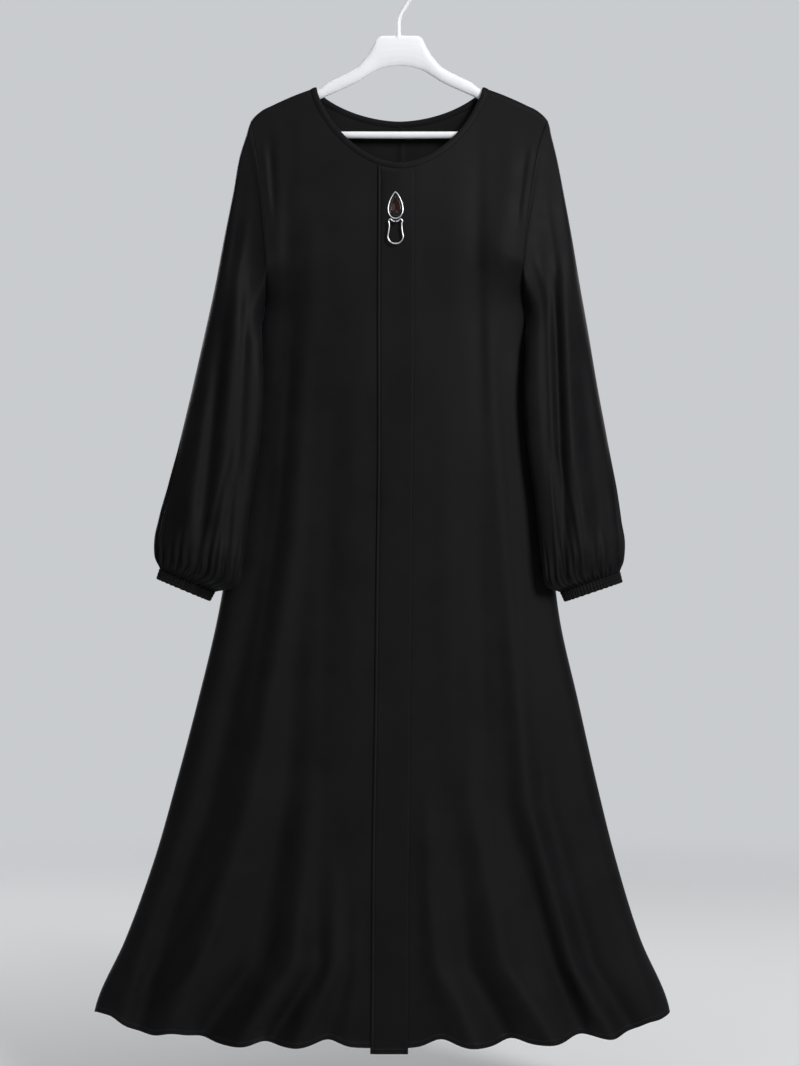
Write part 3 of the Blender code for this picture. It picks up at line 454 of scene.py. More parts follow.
@dataclass
class Shell:
    """A thin closed wall of cloth between an outer grid and the same grid moved inwards."""

    name: str
    outer: Array
    inner: Array
    around: bool = False

    def faces(self) -> list[list[int]]:
        """Faces of the outer side, the inner side and the edges between them.

        Returns:
            Corner numbers of each face.
        """
        rows, columns = self.outer.shape[:2]
        index = np.arange(rows * columns).reshape(rows, columns)
        if self.around:
            index = np.concatenate([index, index[:, :1]], axis=1)
        shift = rows * columns
        a, b = index[:-1, :-1].ravel(), index[:-1, 1:].ravel()
        c, d = index[1:, 1:].ravel(), index[1:, :-1].ravel()
        quads = np.concatenate([np.stack([a, b, c, d], 1), shift + np.stack([d, c, b, a], 1)])
        edges = []
        for row, flip in ((index[0], True), (index[-1], False)):
            rim = np.stack([row[:-1], shift + row[:-1], shift + row[1:], row[1:]], 1)
            edges.append(rim if flip else rim[:, ::-1])
        if not self.around:
            for column, flip in ((index[:, 0], False), (index[:, -1], True)):
                rim = np.stack([column[:-1], shift + column[:-1], shift + column[1:], column[1:]], 1)
                edges.append(rim if flip else rim[:, ::-1])
        return np.concatenate([quads, *edges]).tolist()

    def cloth_coordinates(self) -> Array:
        """Distances along the weft and the warp, in metres, for every point of one side.

        Returns:
            A pair of distances for each point, row by row.
        """
        rows, columns = self.outer.shape[:2]
        weft = np.zeros((rows, columns))
        weft[:, 1:] = np.cumsum(np.linalg.norm(np.diff(self.outer, axis=1), axis=2), axis=1)
        weft -= weft.mean(axis=1, keepdims=True)
        warp = np.zeros((rows, columns))
        warp[1:] = np.cumsum(np.linalg.norm(np.diff(self.outer, axis=0), axis=2), axis=0)
        return np.stack([weft, warp], axis=2).reshape(-1, 2) * MM

    def build(self, material: bpy.types.Material) -> bpy.types.Object:
        """Makes the object.

        Args:
            material: Its finish.

        Returns:
            The new object, with its place in its mesh and a cloth map along its threads.
        """
        points = np.concatenate([self.outer.reshape(-1, 3), self.inner.reshape(-1, 3)]) * MM
        mesh = bpy.data.meshes.new(self.name)
        mesh.from_pydata(points.tolist(), [], self.faces())
        mesh.update()
        layer = mesh.uv_layers.new(name="Threads")
        flat = np.tile(self.cloth_coordinates(), (2, 1))
        loops = np.zeros(len(mesh.loops), dtype=np.int32)
        mesh.loops.foreach_get("vertex_index", loops)
        layer.data.foreach_set("uv", flat[loops].astype(np.float32).ravel())
        mesh.shade_smooth()
        mesh.materials.append(material)
        piece = bpy.data.objects.new(self.name, mesh)
        bpy.context.scene.collection.objects.link(piece)
        return piece


# ---------------------------------------------------------------- the body


@dataclass
class BodyForm:
    """The garment's body as two surfaces, front and back, hung from the shoulder ridge."""

    hem_z: float = -1513
    corner_rise: float = 41
    underarm_z: float = -470
    tip: tuple[float, float] = (210, -207)
    roll: float = 10
    shoulder_to_chest: float = 260
    neck_half: float = 118
    neck_drop_front: float = 111
    neck_drop_back: float = 46
    split_offset: float = -18
    centre_back: float = 2.0

    def ridge(self, x: Array) -> Array:
        """Height of the shoulder ridge."""
        return along(SHOULDER, "x", "z", np.abs(x))

    def centre(self, z: Array) -> Array:
        """Middle of the placket."""
        return (along(PLACKET, "z", "left", z) + along(PLACKET, "z", "right", z)) / 2

    def edge(self, side: Side, z: Array) -> Array:
        """x of a side edge."""
        return along(BODY, "z", "left" if side is Side.RIGHT else "right", z)

    def across(self, x: Array, z: Array) -> Array:
        """Place across the body: 0 at the placket's middle, 1 at either side edge."""
        middle, left, right = self.centre(z), self.edge(Side.RIGHT, z), self.edge(Side.LEFT, z)
        share = np.where(x < middle, (middle - x) / (middle - left), (x - middle) / (right - middle))
        return np.clip(share, 0, 1)

    def flutes(self, facing: Facing, x: Array, z: Array) -> Array:
        """Sum of the skirt's folds.

        Args:
            facing: Front or back.
            x: Place across, in millimetres.
            z: Height, in millimetres.

        Returns:
            How far the folds stand out, in millimetres.
        """
        total = np.zeros(np.broadcast(x, z).shape)
        heights = np.array(FLUTE_HEIGHTS[::-1], float)
        for flute in FRONT_FLUTES if facing is Facing.FRONT else BACK_FLUTES:
            places = np.array([flute.hem, flute.shin, flute.knee, flute.waist, flute.chest], float)
            path = np.interp(z, heights, places)
            grown = np.clip((flute.begins - z) / (flute.begins - self.hem_z), 0, 1)
            width = flute.width * (0.55 + 0.45 * grown)
            total = total + flute.rise * grown**1.3 * np.exp(-(((x - path) / width) ** 2))
        return total

    def depth(self, facing: Facing, x: Array, z: Array) -> Array:
        """Distance of the plain form from the hanger's plane.

        Args:
            facing: Front or back.
            x: Place across, in millimetres.
            z: Height, in millimetres.

        Returns:
            Depth at each point, in millimetres.
        """
        s = self.across(x, z)
        below = np.maximum(self.ridge(x) - z, 0)
        roll = self.roll * np.sqrt(1 - (1 - np.minimum(below / self.roll, 1)) ** 2)
        full = along(BODY, "z", facing.name.lower(), z)
        depth = roll + (full - self.roll) * ease(below / self.shoulder_to_chest)
        inside = 1 - s
        opening = ARMHOLE_SOFT + ARMHOLE_SPREAD * inside
        armhole = ease((z - self.underarm_z + ARMHOLE_DROP * inside) / opening)
        rounded = np.sqrt(np.maximum(1 - s**2.1, 0))
        return depth * (armhole + (1 - armhole) * rounded)

    def calm(self, x: Array, z: Array) -> Array:
        """Where folds may show: not at the side seams."""
        return np.sqrt(np.maximum(1 - self.across(x, z) ** 6, 0))

    def plain_y(self, facing: Facing, x: Array, z: Array) -> Array:
        """Outer face with the skirt's folds alone."""
        calm = self.calm(x, z)
        if facing is Facing.FRONT:
            calm = calm * ease((np.abs(x - self.centre(z)) - 27) / 28)
        return facing.value * (self.depth(facing, x, z) + calm * self.flutes(facing, x, z))

    def fine_y(self, facing: Facing, x: Array, z: Array) -> Array:
        """Outer face with the small creases and the cloth's unevenness added.

        Args:
            facing: Front or back.
            x: Place across, in millimetres.
            z: Height, in millimetres.

        Returns:
            The y of the outer face, in millimetres.
        """
        calm = self.calm(x, z)
        if facing is Facing.FRONT:
            calm = calm * ease((np.abs(x - self.centre(z)) - 24) / 14)
        creases = FRONT_CREASES if facing is Facing.FRONT else BACK_CREASES
        below = np.maximum(self.ridge(x) - z, 0)
        settled = ease(below / 60) * calm
        fine = creased(creases, x, z) + 0.55 * restless(x, z, 210, 0.8 if facing is Facing.FRONT else 2.1)
        return self.plain_y(facing, x, z) + facing.value * settled * fine

    def hem(self, facing: Facing, x: Array) -> Array:
        """Height of the hem."""
        s = self.across(x, np.full(np.shape(x), self.hem_z))
        scallops = FRONT_SCALLOPS if facing is Facing.FRONT else BACK_SCALLOPS
        lift = sum(scallop.rise * np.exp(-(((x - scallop.x) / scallop.width) ** 2)) for scallop in scallops)
        return self.hem_z + self.corner_rise * (0.45 * s**2.6 + 0.55 * s**8) + lift

    def neck_z(self, x: Array, outset: float, drop: float) -> Array:
        """Height of a curve round the neck, set out from the opening's edge."""
        half = self.neck_half + outset
        t = np.clip(np.abs(x) / half, 0, 1)
        return self.ridge(half) - (drop + 0.6 * outset) * (1 - t**1.85) ** 0.725

    def neck_drop(self, facing: Facing) -> float:
        """Depth of the neck on one face."""
        return self.neck_drop_front if facing is Facing.FRONT else self.neck_drop_back

    def split(self, z: Array) -> Array:
        """Line under the placket on which the two fronts meet."""
        return self.centre(z) + self.split_offset

    def centre_seam(self, z: Array) -> Array:
        """The centre-back seam."""
        return self.centre_back + 0 * np.asarray(z, float)


@dataclass
class Cut:
    """The flat cut of a cloth piece: its bounding width and length, and its area."""

    width: float
    length: float
    area: float
    held: str = "hung"


@dataclass
class Panel:
    """A front or a back, from the side edge to the middle."""

    name: str
    form: BodyForm
    facing: Facing
    side: Side
    cut: Cut
    wall: float = 0.9
    binding: float = 8.8
    hem_fold: float = 8.0
    shoulder_columns: int = 30
    neck_columns: int = 46
    lower_rows: int = 118
    upper_rows: int = 74

    def inner_edge(self, z: Array) -> Array:
        """x of the panel's inner edge."""
        if self.facing is Facing.FRONT:
            return self.form.split(z)
        return self.form.centre_seam(z)

    def columns(self) -> tuple[Array, Array]:
        """Shares of the way from the side edge to the inner edge, high up and low down.

        Returns:
            The shares above the underarm and the shares at the hem.
        """
        side = self.side.value
        edge = side * self.form.tip[0]
        split = float(self.inner_edge(np.array(-250.0)))
        span = edge - split
        neck_end = self.form.neck_half + self.binding
        end = (edge - side * neck_end) / span
        shoulder = np.concatenate([[0, 0.012, 0.03], np.linspace(0.06, 1, self.shoulder_columns)])
        neck = np.concatenate([np.linspace(0, 0.97, self.neck_columns)[1:], [0.985, 0.995, 1.0]])
        last = math.acos(min(1, abs(split) / neck_end) * math.copysign(1, split * side))
        turns = last * neck**1.35
        high = np.concatenate([shoulder * end, (edge - side * neck_end * np.cos(turns)) / span])
        low = np.concatenate([shoulder * end, end + (1 - end) * neck])
        return high, low

    def x_at(self, high: Array, low: Array, z: Array) -> Array:
        """Where columns run at given heights."""
        blend = ease((z + 420) / 160)
        weight = low + (high - low) * blend
        edge = self.form.edge(self.side, z)
        return edge + (self.inner_edge(z) - edge) * weight

    def tops(self, high: Array, low: Array) -> Array:
        """Heights at which the columns end, at the shoulder seam or at the neck binding.

        Args:
            high: Shares of the columns above the underarm.
            low: Shares of the columns at the hem.

        Returns:
            The top of each column, in millimetres.
        """
        on_shoulder = np.arange(len(high)) < self.shoulder_columns + 3
        top = np.full(len(high), -250.0)
        drop = self.form.neck_drop(self.facing)
        for _ in range(60):
            x = self.x_at(high, low, top)
            target = np.where(on_shoulder, self.form.ridge(x), self.form.neck_z(x, self.binding - 0.6, drop))
            top += 0.5 * (target - top)
        top[0] = self.form.tip[1]
        return top

    def grid(self) -> Array:
        """Outer points, rows from the hem up.

        Returns:
            Points in millimetres, row by row.
        """
        high, low = self.columns()
        top = self.tops(high, low)
        bottom = np.full(len(high), self.form.hem_z)
        for _ in range(12):
            bottom = self.form.hem(self.facing, self.x_at(high, low, bottom))
        fold = np.array(HEM_ROWS)
        lower = np.concatenate([fold / 1040, np.linspace(0.016, 1, self.lower_rows)])
        rise = np.linspace(0, 1, self.upper_rows)
        upper = 1 - (1 - rise) ** 1.5
        heights = np.concatenate([
            bottom + (self.form.underarm_z - bottom) * lower[:, None],
            self.form.underarm_z + (top - self.form.underarm_z) * upper[1:, None]])
        xs = self.x_at(high, low, heights)
        ys = self.form.fine_y(self.facing, xs, heights)
        above_hem = heights - bottom
        folded = 0.45 * ease((self.hem_fold + 1 - above_hem) / 1.5) * self.form.calm(xs, heights)
        ys = ys + self.facing.value * folded
        if self.facing is Facing.BACK:
            seam = np.abs(xs - self.inner_edge(heights))
            ys = ys - self.facing.value * 1.0 * np.exp(-((seam / 2.5) ** 2))
        return np.stack([xs, ys, heights], axis=2)

    def build(self, material: bpy.types.Material) -> bpy.types.Object:
        """Builds the panel in place of its CAD solid.

        Args:
            material: The piece's finish.

        Returns:
            The panel's cloth.
        """
        outer = self.grid()
        if self.side.value * self.facing.value < 0:
            outer = outer[:, ::-1]
        inner = outer - normals_of(outer, False) * self.wall
        piece = Shell(self.name + "_cloth", outer, inner).build(material)
        dress(piece, self.name)
        return piece


def dress(piece: bpy.types.Object, node: str) -> None:
    """Rides a cloth piece on the garment, in place of its CAD solid, and logs its face count.

    Args:
        piece: The cloth piece.
        node: The CAD node it stands for.
    """
    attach(piece, "abaya")
    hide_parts(node)
    log.info("%s: %d faces", piece.name, len(piece.data.polygons))


@dataclass
class Placket:
    """The folded band down the centre front, stitched along one edge and free along the other."""

    form: BodyForm
    cut: Cut
    bottom: float = -1521
    seat: float = 0.35
    wall: float = 2.0
    lift: float = 0.9
    stitch_in: float = 3.6
    width: float = 52.0
    run: float = 1241.0

    def x_at(self, z: Array, t: Array) -> Array:
        """Place across the band, from its left edge (0) to its right edge (1)."""
        return along(PLACKET, "z", "left", z) * (1 - t) + along(PLACKET, "z", "right", z) * t

    def face_y(self, x: Array, z: Array, t: Array) -> Array:
        """Outer face of the band."""
        return self.form.plain_y(Facing.FRONT, x, z) - self.seat - self.wall - self.lift * t**2

    def grid(self) -> Array:
        """Outer points, rows from the bottom up, rolled over at the free edge.

        Returns:
            Points in millimetres, row by row.
        """
        t = np.array([0, 0.8, 2.0, 3.0, 3.6, 4.2, 5.2, 8, 13, 19, 26, 33, 39, 44, 47, 49, 50.4, 51.4,
                      52]) / self.width
        rows = np.concatenate([HEM_ROWS, np.linspace(18, self.run, 190)]) / self.run
        heights = np.zeros((len(rows), len(t)))
        for column, share in enumerate(t):
            x_top = self.x_at(np.array(-280.0), share)
            top = float(self.form.neck_z(x_top, 8.8, self.form.neck_drop_front)) - 0.5
            heights[:, column] = self.bottom + (top - self.bottom) * rows
        xs = self.x_at(heights, t)
        ys = self.face_y(xs, heights, t)
        near = t * self.width
        ys = ys + 0.75 * np.exp(-(((near - self.stitch_in) / 0.8) ** 2))
        ys = ys + 0.9 * np.exp(-(near / 0.8) ** 2) + 0.9 * np.exp(-((self.width - near) / 0.8) ** 2)
        ys = ys - 0.5 * restless(xs * 2, heights, 300, 1.3) * (t > 0.1)
        above = heights - self.bottom
        ys = ys - 0.35 * ease((9 - above) / 1.5) + 0.25 * np.exp(-((above - 9) / 1.2) ** 2)
        wave = 0.35 * np.sin(heights / 61) * (1 - t) + 0.3 * np.sin(heights / 47 + 1) * t
        return np.stack([xs + wave, ys, heights], axis=2)

    def build(self, material: bpy.types.Material) -> bpy.types.Object:
        """Builds the band.

        Args:
            material: The piece's finish.

        Returns:
            The band's cloth.
        """
        outer = self.grid()
        inner = outer.copy()
        inner[..., 1] += self.wall
        piece = Shell("placket_cloth", outer, inner).build(material)
        dress(piece, "placket")
        return piece


@dataclass
class Binding:
    """The narrow rolled band round the neck."""

    form: BodyForm
    cut: Cut
    height: float = 8.8
    columns: int = 132

    def loop(self) -> list[tuple[Facing, float]]:
        """Face and share of the half-width, round the neck."""
        turns = np.linspace(0, math.pi, self.columns // 2 + 1)
        front = [(Facing.FRONT, -math.cos(turn)) for turn in turns]
        back = [(Facing.BACK, math.cos(turn)) for turn in turns[1:-1]]
        return front + back

    def point(self, facing: Facing, share: float, outset: float) -> Array:
        """A point of the band's middle surface."""
        x = share * (self.form.neck_half + outset)
        z = float(self.form.neck_z(np.array(x), outset, self.form.neck_drop(facing)))
        y = 0.0 if abs(share) > 0.9999 else float(self.form.fine_y(facing, np.array(x), np.array(z)))
        return np.array([x, y, z])

    def build(self, material: bpy.types.Material) -> bpy.types.Object:
        """Builds the band as a rounded roll.

        Args:
            material: The piece's finish.

        Returns:
            The band's cloth.
        """
        sets = (9.4, 8.6, 7.6, 6.2, 4.6, 3.0, 1.6, 0.6, 0.1)
        proud = (-0.1, 0.35, 0.6, 0.95, 1.1, 1.05, 0.8, 0.35, -0.2)
        loop = self.loop()
        middle = np.array([[self.point(facing, share, outset) for facing, share in loop] for outset in sets])
        normals = normals_of(middle, True)
        lift = np.array(proud)[:, None, None]
        uneven = 1 + 0.12 * np.sin(np.arange(len(loop)) * 1.9)[None, :, None]
        outer = middle + normals * lift * uneven
        inner = middle - normals * (0.9 + 0.8 * lift)
        piece = Shell("neck_binding_cloth", outer, inner, True).build(material)
        dress(piece, "neck_binding")
        return piece


# ---------------------------------------------------------------- sleeves and cuffs


@dataclass
class Sleeve:
    """A balloon sleeve, gathered into its cuff."""

    name: str
    form: BodyForm
    side: Side
    rings: Sequence[Ring]
    front: Sequence[Crease]
    back: Sequence[Crease]
    cut: Cut
    wall: float = 0.9
    clearance: float = 3.5
    around: int = 184
    rows: int = 112
    gathers: int = 46

    def column(self, name: str, down: Array) -> Array:
        """One column of the ring table."""
        return along(self.rings, "down", name, down)

    def inboard(self, under_x: Array, under_z: Array, depth: Array) -> Array:
        """How far forward the inner edge hangs, to pass in front of the side of the skirt."""
        forward = self.form.plain_y(Facing.FRONT, under_x, under_z) - self.clearance - 0.6 * depth
        return forward * ease((self.form.underarm_z - under_z) / 60)

    def armhole(self, turn: Array) -> Array:
        """The body's armhole edge, from the shoulder tip (0) to the underarm (pi) and back.

        Args:
            turn: Angle round the sleeve, 0 at the crown and pi at the underarm.

        Returns:
            Points along the edge, in millimetres.
        """
        share = (1 - np.cos(turn)) / 2
        z = self.form.tip[1] + (self.form.underarm_z - self.form.tip[1]) * share
        x = self.form.edge(self.side, z)
        front = self.form.fine_y(Facing.FRONT, x, z)
        back = self.form.fine_y(Facing.BACK, x, z)
        y = np.where(turn <= math.pi, front, back)
        return np.stack([x, y, z], axis=-1)

    def gathered(self, down: Array, turn: Array) -> Array:
        """Puckers above the cuff: uneven in height, width and reach.

        Args:
            down: Share of the way down the sleeve.
            turn: Angle round the sleeve, 0 at the crown and pi at the underarm.

        Returns:
            How far the cloth stands out, in millimetres.
        """
        k = turn * self.gathers / (2 * math.pi)
        drift = 0.8 * np.sin(1.7 * turn + self.side.value) + 0.5 * np.sin(4.1 * turn + 0.6)
        phase = 2 * math.pi * (k + drift)
        ribs = np.cos(phase) - 0.35 * np.cos(2 * phase + 0.5)
        half = np.cos(phase * 0.5 + 1.0)
        reach = 0.09 + 0.06 * np.sin(3.3 * turn + 1.2) + 0.04 * np.sin(7.1 * turn)
        strong = ease((down - (0.985 - reach)) / (0.6 * reach)) * (1 - 0.55 * ease((down - 0.965) / 0.035))
        wide = ease((down - (0.93 - 1.6 * reach)) / 0.12) * (1 - ease((down - 0.95) / 0.05))
        return 2.0 * ribs * strong + 1.9 * half * wide

    def grid(self) -> Array:
        """Outer points, rows from the cuff up.

        Returns:
            Points in millimetres, row by row.
        """
        rise = np.concatenate([np.linspace(0, 0.2, 40)[:-1], np.linspace(0.2, 0.965, self.rows - 46),
                               [0.975, 0.984, 0.991, 0.996, 1.0]])
        down = (1 - rise)[:, None]
        turn = (2 * math.pi * np.arange(self.around) / self.around)[None, :]
        crown_x, crown_z = self.column("crown_x", down), self.column("crown_z", down)
        under_x, under_z = self.column("under_x", down), self.column("under_z", down)
        crown_y, depth = self.column("crown_y", down), self.column("depth", down)
        share = (1 - np.cos(turn)) / 2
        x = crown_x + (under_x - crown_x) * share
        z = crown_z + (under_z - crown_z) * share
        line = crown_y + (self.inboard(under_x, under_z, depth) - crown_y) * share
        bulge = np.copysign(np.abs(np.sin(turn)) ** 0.85, np.sin(turn))
        facing = np.where(turn < math.pi, -1.0, 1.0)
        hung = np.where(turn < math.pi, creased(self.front, x, z), creased(self.back, x, z))
        hung = hung + 0.7 * restless(x * 1.5, z, 170, 0.5 + self.side.value)
        y = line - depth * bulge + facing * hung * np.abs(np.sin(turn))
        worn = 1 - ease(down / 0.3)
        start = self.armhole(turn)
        base_x = self.rings[0].crown_x + (self.rings[0].under_x - self.rings[0].crown_x) * share
        base_z = self.rings[0].crown_z + (self.rings[0].under_z - self.rings[0].crown_z) * share
        x = x + (start[..., 0] - base_x) * worn
        y = y + (start[..., 1] - y) * worn
        z = z + (start[..., 2] - base_z) * worn
        points = np.stack([x, y, z], axis=2)
        normals = normals_of(points, True) * (1 if self.side is Side.RIGHT else -1)
        points = points + normals * self.gathered(down, turn)[..., None]
        head = 1.1 * np.exp(-(((down - 0.012) / 0.012) ** 2)) * (1 - share) ** 0.5
        points = points + normals * head[..., None]
        return self.clear_of_body(points, down)

    def clear_of_body(self, points: Array, down: Array) -> Array:
        """Moves points in front of the body where the sleeve hangs over the side of the skirt.

        Args:
            points: Outer points of the sleeve.
            down: Share of the way down the sleeve.

        Returns:
            The points, clear of the body.
        """
        x, y, z = points[..., 0], points[..., 1], points[..., 2]
        outboard = self.side.value * (x - self.form.edge(self.side, z))
        clearance = np.minimum(self.clearance, 1 - 0.3 * outboard)
        limit = self.form.fine_y(Facing.FRONT, x, z) - clearance + 4 * np.maximum(0.0, outboard)
        hangs = (down > 0) & (z < self.form.underarm_z - 2)
        return np.stack([x, np.where(hangs, np.minimum(y, limit), y), z], axis=2)

    def build(self, material: bpy.types.Material) -> bpy.types.Object:
        """Builds the sleeve.

        Args:
            material: The piece's finish.

        Returns:
            The sleeve's cloth.
        """
        outer = self.grid()
        if self.side is Side.LEFT:
            outer = outer[:, ::-1]
        inner = outer - normals_of(outer, True) * self.wall
        piece = Shell(self.name + "_cloth", outer, inner, True).build(material)
        dress(piece, self.name)
        return piece


@dataclass
class Cuff:
    """A narrow ruched cuff over elastic."""

    name: str
    sleeve: Sleeve
    cut: Cut
    height: float = 14.6
    ruches: int = 58

    def axis(self) -> Array:
        """Direction in which the cuff runs down.

        Returns:
            A unit direction.
        """
        end = self.sleeve.rings[-1]
        run = np.array([end.under_x - end.crown_x, 0, end.under_z - end.crown_z])
        run /= np.linalg.norm(run)
        side = math.copysign(1, run[0])
        return np.array([side * run[2], 0.0, -side * run[0]])

    def build(self, material: bpy.types.Material) -> bpy.types.Object:
        """Builds the cuff: ruches drawn in along the elastic's two rows of stitches.

        Args:
            material: The piece's finish.

        Returns:
            The cuff's cloth.
        """
        end = self.sleeve.rings[-1]
        axis = self.axis()
        crown, under = np.array([end.crown_x, 0, end.crown_z]), np.array([end.under_x, 0, end.under_z])
        half = float(np.linalg.norm(under - crown)) / 2
        outward = (under - crown) / (2 * half)
        inboard = float(self.sleeve.inboard(np.array(end.under_x), np.array(end.under_z), end.depth))
        count = self.ruches * 7
        turn = (2 * math.pi * np.arange(count) / count)[None, :]
        down = np.array([14.6, 14.3, 13.4, 12.0, 10.6, 9.6, 8.6, 7.0, 5.6, 4.6, 3.6, 2.2, 1.0, 0.2, -0.4])
        down = down[:, None]
        wander = 0.5 * np.sin(5 * turn + 0.7) + 0.35 * np.sin(11 * turn) + 0.3 * np.sin(down / 3)
        phase = turn * self.ruches + wander
        ribs = 1.0 * np.abs(np.cos(phase / 2)) ** 0.8 + 0.12 * np.cos(phase * 0.5 + 2.1)
        drawn = np.exp(-(((down - 4.6) / 0.8) ** 2)) + np.exp(-(((down - 9.6) / 0.8) ** 2))
        rim = np.clip(1 - np.minimum(down + 0.4, 14.6 - down) / 1.6, 0, 1) ** 2
        reach = 0.15 + 1.15 * ribs - 0.55 * drawn - 0.9 * rim
        narrow = 1 - 0.03 * down / 14
        middle = (crown + under) / 2 + axis * (down[..., None] + 0.3)
        ragged = 0.35 * np.sin(phase * 0.5 + 1.0) * ease((down - 12) / 2)
        middle = middle + axis * ragged[..., None]
        bulge = np.copysign(np.abs(np.sin(turn)) ** 0.85, np.sin(turn))
        line = end.crown_y + (inboard - end.crown_y) * (1 - np.cos(turn)) / 2
        walls = []
        for extra in (reach, reach * 0.3 - 1.9):
            across = (half * narrow + extra) * -np.cos(turn)
            forward = line - (end.depth * narrow + extra) * bulge
            walls.append(middle + outward * across[..., None] + np.array([0, 1.0, 0]) * forward[..., None])
        outer, inner = walls
        if self.sleeve.side is Side.LEFT:
            outer, inner = outer[:, ::-1], inner[:, ::-1]
        piece = Shell(self.name + "_cloth", outer, inner, True).build(material)
        dress(piece, self.name)
        return piece


# ---------------------------------------------------------------- finishes


class Grain(Enum):
    """Surface grains that more than one finish shares."""

    CREPE = "crepe_grain"
    MOULDED = "moulded_grain"
    SCRATCHED = "fine_scratches"


@dataclass(frozen=True)
class Socket:
    """A named input or output of a shared effect."""

    name: str
    kind: str
    value: float | None = None


@dataclass
class Effect:
    """A shared effect as a shader node group, made once and placed in each material."""

    name: str
    inputs: Sequence[Socket]
    outputs: Sequence[Socket]
    tree: bpy.types.ShaderNodeTree = field(init=False)
    entry: bpy.types.Node = field(init=False)
    exit: bpy.types.Node = field(init=False)

    def __post_init__(self) -> None:
        """Makes the group and its sockets."""
        self.tree = bpy.data.node_groups.new(self.name, "ShaderNodeTree")
        for direction, sockets in (("INPUT", self.inputs), ("OUTPUT", self.outputs)):
            for socket in sockets:
                made = self.tree.interface.new_socket(socket.name, in_out=direction, socket_type=socket.kind)
                if socket.value is not None:
                    made.default_value = socket.value
        self.entry = self.tree.nodes.new("NodeGroupInput")
        self.exit = self.tree.nodes.new("NodeGroupOutput")

    def add(self, kind: str, **settings: object) -> bpy.types.Node:
        """Adds a node with its settings."""
        made = self.tree.nodes.new(kind)
        for name, value in settings.items():
            setattr(made, name, value)
        return made

    def join(self, source: bpy.types.NodeSocket, target: bpy.types.NodeSocket) -> None:
        """Links two sockets."""
        self.tree.links.new(source, target)

    def value(self, operation: str, *parts: bpy.types.NodeSocket | float) -> bpy.types.NodeSocket:
        """A Math node over sockets and numbers.

        Args:
            operation: What the node does.
            parts: Sockets and numbers it works on.

        Returns:
            The node's output.
        """
        made = self.add("ShaderNodeMath", operation=operation)
        for slot, part in zip(made.inputs, parts):
            if isinstance(part, (int, float)):
                slot.default_value = part
            else:
                self.join(part, slot)
        return made.outputs[0]


FLOAT, VECTOR = "NodeSocketFloat", "NodeSocketVector"


